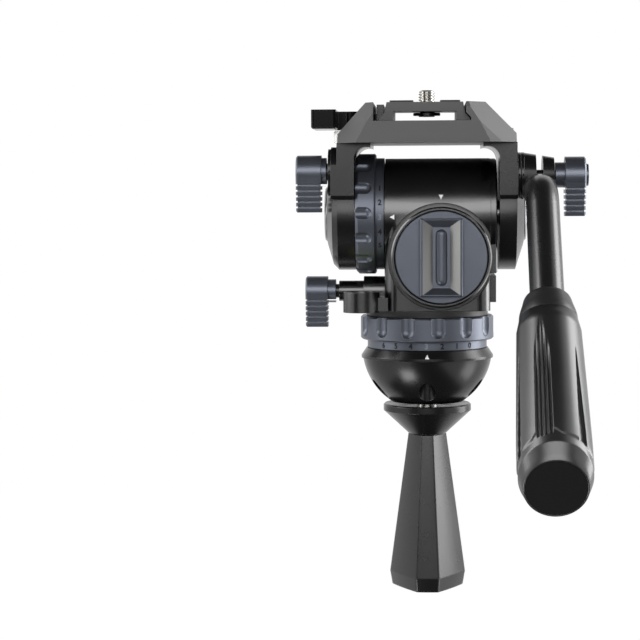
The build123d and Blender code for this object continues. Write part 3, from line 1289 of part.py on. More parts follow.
def lever_knob(head_out, head_in, collar_in, head_r, collar_r, reach, axis_y, axis_z):
    # Round head and collar on an axis along X, with a ridged paddle hanging from the head
    side = 1 if head_out > head_in else -1
    with BuildPart() as knob:
        with BuildSketch(side_plane(head_in, axis_z, axis_y)):
            Circle(head_r)
            Polygon(
                (-head_r, 0),
                (-LEVER_TIP_HALF, -reach),
                (LEVER_TIP_HALF, -reach),
                (head_r, 0),
                align=None,
            )
        extrude(amount=head_out - head_in)
        chamfer(knob.faces().sort_by(Axis.X)[-1 if side > 0 else 0].edges(), length=LEVER_EDGE)
        with BuildSketch(side_plane(collar_in, axis_z, axis_y)):
            Circle(collar_r)
        extrude(amount=head_in - collar_in)
        middle_x = (head_out + head_in) / 2
        width = abs(head_out - head_in)
        for ridge in range(LEVER_RIDGES):
            low = axis_z - reach + LEVER_EDGE + (ridge + 1 / 2) * LEVER_RIDGE_PITCH
            half_here = LEVER_TIP_HALF + (head_r - LEVER_TIP_HALF) * (low - axis_z + reach) / reach
            with BuildSketch(Plane.XY.offset(low)):
                with Locations((middle_x, axis_y)):
                    Rectangle(2 * width, 2 * head_r)
                    Rectangle(
                        width - 2 * LEVER_RIDGE_DEPTH,
                        2 * half_here - 2 * LEVER_RIDGE_DEPTH,
                        mode=Mode.SUBTRACT,
                    )
            extrude(amount=LEVER_RIDGE_PITCH / 3, mode=Mode.SUBTRACT)
    return knob


def stud(start_x, end_x, radius, axis_y, axis_z):
    with BuildPart() as rod:
        with BuildSketch(side_plane(start_x, axis_z, axis_y)):
            Circle(radius)
        extrude(amount=end_x - start_x)
    return rod


def bored(knob, start_x, end_x, radius, axis_y, axis_z):
    # The knob with the seat of its stud cut into it
    with BuildPart() as drilled:
        add(knob.part)
        add(stud(start_x, end_x, radius, axis_y, axis_z).part, mode=Mode.SUBTRACT)
    return drilled


tilt_seat = TILT_KNOB_RIGHT + LEVER_WIDTH / 2
write(
    bored(
        lever_knob(-TILT_KNOB_LEFT, -TILT_KNOB_RIGHT, -TILT_COLLAR_RIGHT, TILT_KNOB_R, TILT_COLLAR_R,
                   TILT_KNOB_REACH, -ROSETTE_Y, LEFT_LOBE_Z),
        -tilt_seat, -TILT_COLLAR_RIGHT + OVERRUN, TILT_STUD_R + SEAT_FIT, -ROSETTE_Y, LEFT_LOBE_Z,
    ),
    "tilt_lock_knob",
)
write(stud(-tilt_seat, -TILT_STUD_TIP, TILT_STUD_R, -ROSETTE_Y, LEFT_LOBE_Z), "tilt_lock_stud")

pan_seat = PAN_KNOB_RIGHT + LEVER_WIDTH / 2
write(
    bored(
        lever_knob(-PAN_KNOB_LEFT, -PAN_KNOB_RIGHT, -PAN_COLLAR_RIGHT, PAN_KNOB_R, PAN_COLLAR_R,
                   PAN_KNOB_REACH, 0, PAN_LOCK_Z),
        -pan_seat, -PAN_COLLAR_RIGHT + OVERRUN, LOCK_STUD_R + SEAT_FIT, 0, PAN_LOCK_Z,
    ),
    "pan_lock_knob",
)
write(stud(-pan_seat, -DRUM_R - LOCK_SHOE_T - GAP, LOCK_STUD_R, 0, PAN_LOCK_Z), "pan_lock_stud")

bar_seat = BAR_KNOB_LEFT + LEVER_WIDTH / 2
bar_knob = lever_knob(BAR_KNOB_RIGHT, BAR_KNOB_LEFT, BAR_COLLAR_LEFT, BAR_KNOB_R, BAR_COLLAR_R,
                      BAR_KNOB_REACH, -ROSETTE_Y, RIGHT_LOBE_Z)
with BuildPart() as bar_knob_button:
    add(bar_knob.part)
    add(stud(BAR_KNOB_RIGHT, BAR_BUTTON_RIGHT, BAR_BUTTON_R, -ROSETTE_Y, RIGHT_LOBE_Z).part)
write(
    bored(
        bar_knob_button, BAR_COLLAR_LEFT - OVERRUN, bar_seat, BAR_STUD_R + SEAT_FIT,
        -ROSETTE_Y, RIGHT_LOBE_Z,
    ),
    "bar_clamp_knob",
)
write(stud(BAR_STUD_TIP, bar_seat, BAR_STUD_R, -ROSETTE_Y, RIGHT_LOBE_Z), "bar_clamp_stud")

# Clamp of the pan bar: tapered body, socket towards the front, slot from above
clamp_back = CLAMP_LEFT + GAP
socket_mouth = Plane(origin=(SOCKET_X, -SOCKET_MOUTH, SOCKET_Z), x_dir=(1, 0, 0), z_dir=(0, 1, 0))
clamp_way = stud(CLAMP_LEFT - OVERRUN, CLAMP_RIGHT + OVERRUN, BAR_STUD_R + RUN_FIT, -ROSETTE_Y, RIGHT_LOBE_Z)
with BuildPart() as bar_clamp:
    with BuildSketch(Plane(origin=(0, -ROSETTE_Y, RIGHT_LOBE_Z), x_dir=(1, 0, 0), z_dir=(0, -1, 0))):
        Polygon(
            (clamp_back, 0),
            (clamp_back, CLAMP_LEFT_R),
            (CLAMP_RIGHT, CLAMP_RIGHT_R),
            (CLAMP_RIGHT, 0),
            align=None,
        )
    revolve(axis=Axis((0, -ROSETTE_Y, RIGHT_LOBE_Z), (1, 0, 0)))
    with BuildSketch(socket_mouth):
        Circle(SOCKET_R)
    extrude(amount=SOCKET_MOUTH - SOCKET_REAR)
    with BuildSketch(clamp_face):
        Circle(ROSETTE_R + SEAT_FIT)
    extrude(amount=2 * ROSETTE_T, mode=Mode.SUBTRACT)
    with BuildSketch(socket_mouth.offset(-OVERRUN)):
        Circle(SPIGOT_R + RUN_FIT)
    extrude(amount=SOCKET_MOUTH + OVERRUN - SPIGOT_ROOT + GAP, mode=Mode.SUBTRACT)
    with BuildSketch(Plane.XY.offset(SOCKET_Z)):
        with Locations(((CLAMP_SLOT_LEFT + CLAMP_SLOT_RIGHT) / 2, -ROSETTE_Y)):
            Rectangle(CLAMP_SLOT_RIGHT - CLAMP_SLOT_LEFT, 2 * SOCKET_MOUTH)
    extrude(amount=2 * CLAMP_LEFT_R, mode=Mode.SUBTRACT)
    add(clamp_way.part, mode=Mode.SUBTRACT)
write(bar_clamp, "bar_clamp")

# Pan bar: a level stub, one bend and a long run down towards the operator
bar_plane = side_plane(SOCKET_X, 0)
with BuildPart() as pan_bar:
    with BuildLine(bar_plane):
        stub = Line((-SOCKET_MOUTH - GAP, SOCKET_Z), (-STUB_END, SOCKET_Z))
        bend = JernArc(stub @ 1, (-1, 0), BEND_R, BAR_DROP_ANGLE)
        run = PolarLine(bend @ 1, BAR_LENGTH, direction=bend % 1)
    with BuildSketch(Plane(origin=stub @ 0, z_dir=stub % 0)):
        Circle(TUBE_R)
        Circle(TUBE_R - TUBE_WALL, mode=Mode.SUBTRACT)
    sweep()
    # Spigot that the clamp grips, and the shoulder where the tube begins
    with BuildSketch(Plane(origin=stub @ 0, z_dir=stub % 0)):
        Circle(TUBE_R)
    extrude(amount=SPIGOT_R / 2)
    with BuildSketch(Plane(origin=stub @ 0, z_dir=stub % 0)):
        Circle(SPIGOT_R)
    extrude(amount=-(SOCKET_MOUTH + GAP - SPIGOT_ROOT))
write(pan_bar, "pan_bar")

bar_start = bend @ 1
bar_dir = (bend % 1).normalized()
bar_axis = Axis(bar_start, bar_dir)
bar_profile = Plane(origin=bar_start, x_dir=bar_dir, z_dir=(1, 0, 0))
collar_end = COLLAR_START + COLLAR_LENGTH
shoulder_end = collar_end + GRIP_SHOULDER
grip_end = collar_end + GRIP_LENGTH
bore_r = TUBE_R + SEAT_FIT

# Dark collar where the grip begins
with BuildPart() as grip_collar:
    with BuildSketch(bar_profile):
        with BuildLine():
            base = Line((collar_end, bore_r), (COLLAR_START, bore_r))
            rise = Spline(
                (COLLAR_START, bore_r),
                (COLLAR_START + COLLAR_LENGTH / 3, COLLAR_R - (COLLAR_R - bore_r) / 3),
                (collar_end, COLLAR_R),
                tangents=[(0, 1), (1, 0)],
            )
            Line((collar_end, COLLAR_R), (collar_end, bore_r))
        make_face()
    revolve(axis=bar_axis)
write(grip_collar, "grip_collar")

# Grip: swells towards the end, which is cut obliquely and holds a flat cap
tilt_rad = math.radians(BAR_DROP_ANGLE - CAP_TILT)
cap_normal = Vector(0, -math.cos(tilt_rad), -math.sin(tilt_rad))
end_plane = Plane(origin=bar_start + bar_dir * grip_end, x_dir=(1, 0, 0), z_dir=cap_normal)
with BuildPart() as bar_grip:
    with BuildSketch(bar_profile):
        with BuildLine():
            Polyline(
                (collar_end, bore_r),
                (collar_end, COLLAR_R),
                (shoulder_end, GRIP_START_R),
                (shoulder_end + GRIP_FLARE, GRIP_MID_R),
                (grip_end + GRIP_END_R, GRIP_END_R),
                (grip_end + GRIP_END_R, bore_r),
                close=True,
            )
        make_face()
    revolve(axis=bar_axis)
    split(bisect_by=end_plane, keep=Keep.BOTTOM)
    rim = bar_grip.faces().sort_by(Axis(end_plane.origin, cap_normal))[-1]
    chamfer(rim.outer_wire().edges(), length=GRIP_CHAMFER)
    with BuildSketch(end_plane):
        Circle(CAP_R)
    extrude(amount=-CAP_T - SEAT_FIT, mode=Mode.SUBTRACT)
    # Long flutes round the grip, none at its front
    for angle in FLUTE_ANGLES:
        outward = bar_plane.z_dir.rotate(bar_axis, 90 - angle)
        flute_floor = GRIP_START_R + (GRIP_MID_R - GRIP_START_R) / 2 - FLUTE_DEPTH
        middle = bar_start + bar_dir * FLUTE_MIDDLE + outward * flute_floor
        with BuildSketch(Plane(origin=middle, x_dir=bar_dir, z_dir=outward)):
            SlotOverall(FLUTE_LENGTH, FLUTE_WIDTH)
        extrude(amount=2 * GRIP_CHAMFER, mode=Mode.SUBTRACT)
write(bar_grip, "bar_grip")

with BuildPart() as grip_end_cap:
    with BuildSketch(end_plane):
        Circle(CAP_R - SEAT_FIT)
    extrude(amount=-CAP_T)
write(grip_end_cap, "grip_end_cap")
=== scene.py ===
import math

import bpy
import numpy as np
from mathutils import Matrix, Vector


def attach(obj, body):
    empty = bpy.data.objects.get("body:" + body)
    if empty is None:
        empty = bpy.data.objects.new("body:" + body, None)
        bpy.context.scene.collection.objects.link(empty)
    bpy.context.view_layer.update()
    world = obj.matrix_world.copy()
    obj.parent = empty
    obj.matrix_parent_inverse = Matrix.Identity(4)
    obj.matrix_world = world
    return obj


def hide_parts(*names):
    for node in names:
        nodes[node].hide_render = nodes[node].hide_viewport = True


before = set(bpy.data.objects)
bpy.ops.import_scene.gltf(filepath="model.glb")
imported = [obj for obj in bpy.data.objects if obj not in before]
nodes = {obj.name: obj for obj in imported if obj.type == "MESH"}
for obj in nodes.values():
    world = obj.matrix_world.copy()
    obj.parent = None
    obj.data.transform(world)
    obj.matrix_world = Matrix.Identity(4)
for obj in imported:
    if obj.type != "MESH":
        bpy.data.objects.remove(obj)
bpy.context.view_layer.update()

# Camera: a long lens on a level with the tilting platform, straight in front of the pan axis.
# The frame's centre lies left of the head and below it, as in the photograph.
MM = 0.001
eye = Vector((0.0, -1.129, 0.0931))
yaw = math.radians(3.1477)
pitch = math.radians(3.9248)
roll = math.radians(-0.3195)
camera = bpy.data.objects.new("camera", bpy.data.cameras.new("camera"))
camera.data.sensor_width = 36.0
camera.data.lens = 109.81
camera.data.clip_start = 0.05
camera.data.clip_end = 50.0
gaze = Vector((
    -math.sin(yaw) * math.cos(pitch),
    math.cos(yaw) * math.cos(pitch),
    -math.sin(pitch),
))
lean = Matrix.Rotation(roll, 3, "Z").to_quaternion()
camera.location = eye
camera.rotation_mode = "QUATERNION"
camera.rotation_quaternion = gaze.to_track_quat("-Z", "Y") @ lean
bpy.context.scene.collection.objects.link(camera)
bpy.context.scene.camera = camera
bpy.context.scene.view_settings.view_transform = "Standard"

# Studio: a white room, a broad front light with a faint one under it, a soft box on each side and
# two low ones. Dark flags above, below and behind the camera keep the black castings deep. They
# are seen in reflections only.
ROOM_STRENGTH = 0.35
BACKDROP_STRENGTH = 1.0
FLOOR_Z = -1.01
FLOOR_HALF = 6.0
PAPER_GREY = 0.9
PAPER_GLOW = 1.12
PAPER_GLOW_SHARE = 0.85
WHITE = (1, 1, 1, 1)


def seen_rays(tree):
    """One where the ray comes from the camera, a reflection or a refraction, else nought."""
    path = tree.nodes.new("ShaderNodeLightPath")
    seen = path.outputs["Is Camera Ray"]
    for kind in ("Is Glossy Ray", "Is Transmission Ray"):
        either = tree.nodes.new("ShaderNodeMath")
        either.operation = "MAXIMUM"
        tree.links.new(seen, either.inputs[0])
        tree.links.new(path.outputs[kind], either.inputs[1])
        seen = either.outputs[0]
    return seen


def soft_box(name, place, aim, width, height, radiance):
    """A rectangular light that faces its aim. Its power is pi times its area times its radiance."""
    lamp = bpy.data.lights.new(name, "AREA")
    lamp.shape = "RECTANGLE"
    lamp.size = width
    lamp.size_y = height
    lamp.energy = math.pi * width * height * radiance
    holder = bpy.data.objects.new(name, lamp)
    holder.location = place
    holder.rotation_euler = (Vector(aim) - Vector(place)).to_track_quat("-Z", "Y").to_euler()
    holder.visible_camera = False
    bpy.context.scene.collection.objects.link(holder)


world = bpy.data.worlds.new("white_room")
bpy.context.scene.world = world
world.use_nodes = True
sky = world.node_tree
sky.nodes.clear()
room = sky.nodes.new("ShaderNodeBackground")
room.inputs["Color"].default_value = WHITE
room.inputs["Strength"].default_value = ROOM_STRENGTH
backdrop = sky.nodes.new("ShaderNodeBackground")
backdrop.inputs["Color"].default_value = WHITE
backdrop.inputs["Strength"].default_value = BACKDROP_STRENGTH
sky_mix = sky.nodes.new("ShaderNodeMixShader")
sky_out = sky.nodes.new("ShaderNodeOutputWorld")
sky.links.new(seen_rays(sky), sky_mix.inputs[0])
sky.links.new(room.outputs[0], sky_mix.inputs[1])
sky.links.new(backdrop.outputs[0], sky_mix.inputs[2])
sky.links.new(sky_mix.outputs[0], sky_out.inputs["Surface"])

soft_box("front_light", (0.05, -1.75, 0.58), (0.0, 0.0, 0.05), 1.5, 0.85, 4.4)
soft_box("front_low_light", (0.0, -1.85, -0.10), (0.0, 0.0, 0.0), 1.3, 0.40, 0.45)
soft_box("left_box", (-1.10, -0.15, 0.60), (0.0, 0.0, 0.05), 0.5, 1.2, 5.0)
soft_box("right_box", (1.20, 0.30, 0.35), (0.0, 0.0, 0.05), 0.7, 1.3, 7.0)
soft_box("low_box", (-0.40, -0.43, -0.58), (0.0, 0.0, -0.02), 0.30, 0.25, 9.0)
soft_box("right_low_box", (0.92, -0.02, -0.52), (0.07, -0.18, -0.04), 0.45, 0.40, 4.0)

floor_mesh = bpy.data.meshes.new("floor")
floor_corners = ((-1, -1), (1, -1), (1, 1), (-1, 1))
floor_mesh.from_pydata(
    [(x * FLOOR_HALF, y * FLOOR_HALF, FLOOR_Z) for x, y in floor_corners], [], [(0, 1, 2, 3)]
)
floor = bpy.data.objects.new("floor", floor_mesh)
bpy.context.scene.collection.objects.link(floor)
floor_paint = bpy.data.materials.new("floor_paint")
floor_paint.use_nodes = True
paper = floor_paint.node_tree
paper.nodes.clear()
matt = paper.nodes.new("ShaderNodeBsdfDiffuse")
matt.inputs["Color"].default_value = (PAPER_GREY, PAPER_GREY, PAPER_GREY, 1)
glow = paper.nodes.new("ShaderNodeEmission")
glow.inputs["Color"].default_value = WHITE
glow.inputs["Strength"].default_value = PAPER_GLOW
paper_mix = paper.nodes.new("ShaderNodeMixShader")
share = paper.nodes.new("ShaderNodeMath")
share.operation = "MULTIPLY"
share.inputs[1].default_value = PAPER_GLOW_SHARE
paper_out = paper.nodes.new("ShaderNodeOutputMaterial")
paper.links.new(seen_rays(paper), share.inputs[0])
paper.links.new(share.outputs[0], paper_mix.inputs[0])
paper.links.new(matt.outputs[0], paper_mix.inputs[1])
paper.links.new(glow.outputs[0], paper_mix.inputs[2])
paper.links.new(paper_mix.outputs[0], paper_out.inputs["Surface"])
floor_mesh.materials.append(floor_paint)

flag_cloth = bpy.data.materials.new("flag_cloth")
flag_cloth.use_nodes = True
cloth = flag_cloth.node_tree.nodes["Principled BSDF"]
cloth.inputs["Base Color"].default_value = (0.01, 0.01, 0.01, 1)
cloth.inputs["Roughness"].default_value = 1.0
for name, corners in (
    ("top_flag", [(-0.5, -1.2, 0.75), (-0.5, 0.7, 0.75), (0.5, 0.7, 0.75), (0.5, -1.2, 0.75)]),
    ("front_flag", [(-2.6, -2.4, -1.0), (2.6, -2.4, -1.0), (2.6, -2.4, 2.6), (-2.6, -2.4, 2.6)]),
    ("low_flag", [(-0.7, -2.0, -0.7), (0.6, -2.0, -0.7), (0.6, 0.3, -0.7), (-0.7, 0.3, -0.7)]),
):
    flag_mesh = bpy.data.meshes.new(name)
    flag_mesh.from_pydata(corners, [], [(0, 1, 2, 3)])
    flag_mesh.materials.append(flag_cloth)
    flag = bpy.data.objects.new(name, flag_mesh)
    flag.visible_camera = False
    flag.visible_shadow = False
    flag.visible_diffuse = False
    bpy.context.scene.collection.objects.link(flag)

# Half ball and hub: the aluminium bowl seat of the head, turned, blasted and anodised black. The
# finish is the one that all the black castings share. The turntable above, in the shadow between
# ring and housing, is duller and coloured nearly black, a painted shade.
CLOUD_SCALE = 45.0
CLOUD_DETAIL = 5.0
GRAIN_SCALE = 2600.0
PLAIN_DETAIL = 2.0
GLOSS_SPREAD = 0.05
TINT_SPREAD = 0.1
GRAIN_HEIGHT = 0.05
# Corners turn towards this light grey: partly rubbed by use, partly a painted edge highlight.
EDGE_LIGHTENING_FACING = 0.85
EDGE_RUB_AND_HIGHLIGHT_GREY = (0.42, 0.42, 0.42)


def noise(tree, place, scale, detail=PLAIN_DETAIL):
    """Noise in object space, as a share from nought to one."""
    texture = tree.nodes.new("ShaderNodeTexNoise")
    texture.inputs["Scale"].default_value = scale
    texture.inputs["Detail"].default_value = detail
    tree.links.new(place.outputs["Object"], texture.inputs["Vector"])
    return texture.outputs["Fac"]


def colour_mix(tree, share, first, second):
    """A mix of two colours by a share. The first may come from another node."""
    mix = tree.nodes.new("ShaderNodeMix")
    mix.data_type = "RGBA"
    if isinstance(first, tuple):
        mix.inputs["A"].default_value = (*first, 1)
    else:
        tree.links.new(first, mix.inputs["A"])
    mix.inputs["B"].default_value = (*second, 1)
    tree.links.new(share, mix.inputs["Factor"])
    return mix.outputs["Result"]


def metal_finish(name, colour, metallic, roughness, blast=0.25, edge=0.35, edge_rub_and_highlight=0.10):
    """A blasted and anodised or turned metal.

    Fine noise in object space lifts the surface by the share blast, coarse noise shifts its gloss
    and its tint, and a rounded-edge normal of edge millimetres softens each corner. The last
    argument is the share by which the corners turn lighter, partly rubbed by use and partly a
    painted edge highlight.
    """
    paint = bpy.data.materials.new(name)
    paint.use_nodes = True
    tree = paint.node_tree
    shader = tree.nodes["Principled BSDF"]
    shader.inputs["Metallic"].default_value = metallic
    place = tree.nodes.new("ShaderNodeTexCoord")
    cloud = noise(tree, place, CLOUD_SCALE, CLOUD_DETAIL)
    grain = noise(tree, place, GRAIN_SCALE)
    gloss = tree.nodes.new("ShaderNodeMapRange")
    gloss.inputs["To Min"].default_value = roughness - GLOSS_SPREAD
    gloss.inputs["To Max"].default_value = roughness + GLOSS_SPREAD
    tree.links.new(cloud, gloss.inputs["Value"])
    tree.links.new(gloss.outputs["Result"], shader.inputs["Roughness"])
    round_edge = tree.nodes.new("ShaderNodeBevel")
    round_edge.samples = 4
    round_edge.inputs["Radius"].default_value = edge * MM
    bump = tree.nodes.new("ShaderNodeBump")
    bump.inputs["Strength"].default_value = blast
    bump.inputs["Distance"].default_value = GRAIN_HEIGHT * MM
    tree.links.new(grain, bump.inputs["Height"])
    tree.links.new(round_edge.outputs["Normal"], bump.inputs["Normal"])
    tree.links.new(bump.outputs["Normal"], shader.inputs["Normal"])
    surface = tree.nodes.new("ShaderNodeNewGeometry")
    facing = tree.nodes.new("ShaderNodeVectorMath")
    facing.operation = "DOT_PRODUCT"
    tree.links.new(surface.outputs["True Normal"], facing.inputs[0])
    tree.links.new(round_edge.outputs["Normal"], facing.inputs[1])
    # Lighter corners: partly rubbed by use, partly a painted edge highlight.
    corner = tree.nodes.new("ShaderNodeMapRange")
    corner.inputs["From Min"].default_value = 1.0
    corner.inputs["From Max"].default_value = EDGE_LIGHTENING_FACING
    corner.inputs["To Max"].default_value = edge_rub_and_highlight
    tree.links.new(facing.outputs["Value"], corner.inputs["Value"])
    darker = tuple(c * (1 - TINT_SPREAD) for c in colour)
    lighter = tuple(c * (1 + TINT_SPREAD) for c in colour)
    tint = colour_mix(tree, cloud, darker, lighter)
    rubbed_and_highlit = colour_mix(tree, corner.outputs["Result"], tint, EDGE_RUB_AND_HIGHLIGHT_GREY)
    tree.links.new(rubbed_and_highlit, shader.inputs["Base Color"])
    return paint


def wear_paint(paint, *names):
    """Gives these nodes of the CAD model their finish."""
    for name in names:
        mesh = nodes[name].data
        mesh.materials.clear()
        mesh.materials.append(paint)


black_anodised = metal_finish("black_anodised", (0.034, 0.034, 0.035), 0.85, 0.27)
# Painted shade: the turntable is coloured nearly black for the shadow between ring and housing.
painted_shade_black = metal_finish(
    "painted_shade_black", (0.010, 0.010, 0.010), 0.2, 0.45, blast=0.2, edge=0.3, edge_rub_and_highlight=0.02
)
wear_paint(black_anodised, "half_ball", "pan_hub")
wear_paint(painted_shade_black, "turntable")

# The index on the ball's chamfer: a white arrow that points up at the pan scale.
# It is screen-printed, so it follows the cone and stands off by no more than the ink's thickness.
PRINT_LIFT = 0.06
INK_GRAIN = 1500.0
INK_THIN = 0.85
INK_THICK = 1.1
CHAMFER_TOP_R = 35.0
CHAMFER_FOOT_R = 38.0
CHAMFER_FOOT_Z = -4.4
ARROW_HALF = 1.25
ARROW_TIP = 0.40
ARROW_FOOT = 0.93


def ink(name, colour, roughness=0.55):
    """Screen-printed ink: a thin flat colour, a little uneven where it soaked in."""
    paint = bpy.data.materials.new(name)
    paint.use_nodes = True
    tree = paint.node_tree
    shader = tree.nodes["Principled BSDF"]
    shader.inputs["Roughness"].default_value = roughness
    speck = noise(tree, tree.nodes.new("ShaderNodeTexCoord"), INK_GRAIN)
    thin = tuple(c * INK_THIN for c in colour)
    thick = tuple(min(1.0, c * INK_THICK) for c in colour)
    tree.links.new(colour_mix(tree, speck, thin, thick), shader.inputs["Base Color"])
    return paint


def new_piece(name, points, faces, paint, body, smooth=True):
    """A mesh from points in metres and lists of faces, which rides on a body."""
    mesh = bpy.data.meshes.new(name)
    mesh.from_pydata(np.asarray(points, float).tolist(), [], faces)
    mesh.polygons.foreach_set("use_smooth", [smooth] * len(mesh.polygons))
    mesh.materials.append(paint)
    mesh.update()
    piece = bpy.data.objects.new(name, mesh)
    bpy.context.scene.collection.objects.link(piece)
    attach(piece, body)
    return piece


def on_chamfer(across, down):
    """A point on the ball's chamfer, by millimetres across the front and share of its height."""
    radius = CHAMFER_TOP_R + (CHAMFER_FOOT_R - CHAMFER_TOP_R) * down + PRINT_LIFT
    turn = across / radius
    height = CHAMFER_FOOT_Z * down + PRINT_LIFT / 2
    return (MM * radius * math.sin(turn), -MM * radius * math.cos(turn), MM * height)


white_ink = ink("white_ink", (0.85, 0.85, 0.85))
pan_arrow = [
    on_chamfer(0.0, ARROW_TIP), on_chamfer(-ARROW_HALF, ARROW_FOOT), on_chamfer(ARROW_HALF, ARROW_FOOT)
]
new_piece("pan_index", pan_arrow, [(0, 1, 2)], white_ink, "base", smooth=False)

# Screws, spindle, bearings and nut: turned steel, mostly out of sight.
# Fine turning marks run round each part, so their finish is only a little uneven.
turned_steel = metal_finish(
    "turned_steel", (0.52, 0.52, 0.50), 1.0, 0.26, blast=0.1, edge=0.2, edge_rub_and_highlight=0.0
)
wear_paint(
    turned_steel, "hub_screws", "pan_spindle", "spindle_nut", "tie_down_stud", "pan_bearing_lower",
    "pan_bearing_upper", "tilt_bearing_left", "tilt_bearing_right", "counterbalance_spring",
    "dial_spindle", "tilt_brake_disc", "tilt_axle", "tilt_brake_shoe", "lever_pin", "lever_stop",
)

# Damping cartridges: black moulded cups, closed, deep in the head.
# Each is fixed to one side of its movement and drags on the other.
damper_plastic = metal_finish(
    "damper_plastic", (0.05, 0.05, 0.05), 0.0, 0.5, blast=0.15, edge=0.3, edge_rub_and_highlight=0.0
)
wear_paint(damper_plastic, "pan_drag_cartridge", "tilt_drag_cartridge")

# Tie-down washer: black anodised aluminium, turned.
# It presses on the bowl from below.
wear_paint(black_anodised, "tie_down_washer")

# Its three-sided handle: satin black, with three narrow and three wide facets that swell a little.
# It is open above for the stud, on which it turns. Each row is a share of the widest section and
# a height.
FACET_REACH = 21.5
FACET_HALF = 6.5
NARROW_SWELL = 0.35
WIDE_SWELL = 0.7
FACET_COLUMNS = 24
HANDLE_ROWS = (
    (0.850, -140.0), (0.925, -140.0), (0.940, -139.6), (0.943, -139.2), (0.997, -132.4),
    (1.0, -132.0), (0.9969, -131.5), (0.9933, -130.9), (0.5061, -51.4), (0.5025, -50.8),
    (0.490, -50.4), (0.470, -50.4),
)
BORE_ROWS = ((6.6, -50.4), (6.2, -50.8), (6.2, -100.4))


def handle_section(per_facet):
    """The handle's section at its widest, as points round the axis.

    Each facet is the straight line between its corners plus a parabola outwards: four times the
    swell times t times one less t.
    """
    spread = math.degrees(math.atan2(FACET_HALF, FACET_REACH))
    middle = -90 + 120 * np.arange(3)
    turn = np.radians(np.stack([middle - spread, middle + spread], axis=1).reshape(-1))
    corner = math.hypot(FACET_HALF, FACET_REACH) * np.stack([np.cos(turn), np.sin(turn)], axis=1)
    along = np.roll(corner, -1, axis=0) - corner
    out = np.stack([along[:, 1], -along[:, 0]], axis=1) / np.linalg.norm(along, axis=1)[:, None]
    t = (np.arange(per_facet) / per_facet)[None, :, None]
    swell = np.tile([NARROW_SWELL, WIDE_SWELL], 3)[:, None, None]
    points = corner[:, None] + along[:, None] * t + out[:, None] * swell * 4 * t * (1 - t)
    return points.reshape(-1, 2)


def handle_surface(per_facet):
    """The section scaled by each row's share, from the foot up, then the round bore downwards."""
    section = handle_section(per_facet)
    ring = section / np.linalg.norm(section, axis=1)[:, None]
    sized = [(section * share, height) for share, height in HANDLE_ROWS]
    sized += [(ring * radius, height) for radius, height in BORE_ROWS]
    return np.stack([np.column_stack([flat, np.full(len(flat), height)]) for flat, height in sized])


def closed_grid(grid):
    """Points and faces of a grid that wraps round in its second direction, capped at each end."""
    row_count, column_count = grid.shape[:2]
    points = grid.reshape(-1, 3)
    row = np.arange(row_count - 1)[:, None] * column_count
    column = np.arange(column_count)
    after = (column + 1) % column_count
    above = row + column_count
    quads = np.stack([row + column, row + after, above + after, above + column], axis=-1)
    foot = np.full_like(column, len(points))
    last = (row_count - 1) * column_count
    foot_cap = np.stack([foot, after, column], axis=-1)
    top_cap = np.stack([foot + 1, last + column, last + after], axis=-1)
    caps = np.stack([foot_cap, top_cap], axis=1).reshape(-1, 3)
    points = np.vstack([points, grid[0].mean(0), grid[-1].mean(0)])
    return points, quads.reshape(-1, 4).tolist() + caps.tolist()


def grid_piece(name, grid, paint, body, smooth=True):
    """A closed piece from a wrapped grid in millimetres."""
    points, faces = closed_grid(grid)
    return new_piece(name, points * MM, faces, paint, body, smooth)


handle_black = metal_finish(
    "handle_black", (0.034, 0.034, 0.035), 0.80, 0.28, blast=0.08, edge=0.8, edge_rub_and_highlight=0.04
)
handle_grid = handle_surface(FACET_COLUMNS)
handle_shell = grid_piece("handle_shell", handle_grid, handle_black, "tie_down_handle")
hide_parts("tie_down_handle")

# Pan drag ring: aluminium, scalloped for the thumb, anodised blue-grey, with its scale printed
# in black on the band below. The middle number is worn pale.
DIGIT_HEIGHT = 3.3
DIGIT_WEIGHT = 0.035
WORN_DIGIT = "3"
PAN_BAND_R = 34.4
PAN_BAND_MIDDLE = 2.75
PAN_STEP = 15.0
PAN_SCALE_SHIFT = -0.8


def digit_outline(digit):
    """The flat faces of one digit, centred, DIGIT_HEIGHT tall, as arrays in millimetres."""
    text = bpy.data.curves.new("digit_" + digit, "FONT")
    text.body = digit
    text.align_x = "CENTER"
    text.offset = DIGIT_WEIGHT
    text.resolution_u = 6
    holder = bpy.data.objects.new("digit_" + digit, text)
    bpy.context.scene.collection.objects.link(holder)
    bpy.context.view_layer.update()
    evaluated = holder.evaluated_get(bpy.context.evaluated_depsgraph_get())
    flat = bpy.data.meshes.new_from_object(evaluated)
    corners = np.array([v.co for v in flat.vertices], float)
    faces = [list(p.vertices) for p in flat.polygons]
    bpy.data.objects.remove(holder)
    low, high = corners.min(0), corners.max(0)
    corners = (corners - (low + high) / 2) * (DIGIT_HEIGHT / (high[1] - low[1]))
    return corners[:, 0], corners[:, 1], faces


def printed_scale(name, rows, place, paint, body):
    """Digits in one mesh. Each row is a digit and its turn in degrees; place wraps them round."""
    points, faces, start = [], [], 0
    for digit, turn in rows:
        across, up, polygons = digit_outline(digit)
        points.append(place(across, up, math.radians(turn)))
        faces += [[start + i for i in polygon] for polygon in polygons]
        start += len(across)
    return new_piece(name, np.concatenate(points), faces, paint, body, smooth=False)


def on_pan_band(across, up, turn):
    """Wraps flat points round the pan axis, on the number band."""
    radius = PAN_BAND_R + PRINT_LIFT
    angle = turn + across / radius
    height = PAN_BAND_MIDDLE + up
    return MM * np.column_stack([radius * np.sin(angle), -radius * np.cos(angle), height])


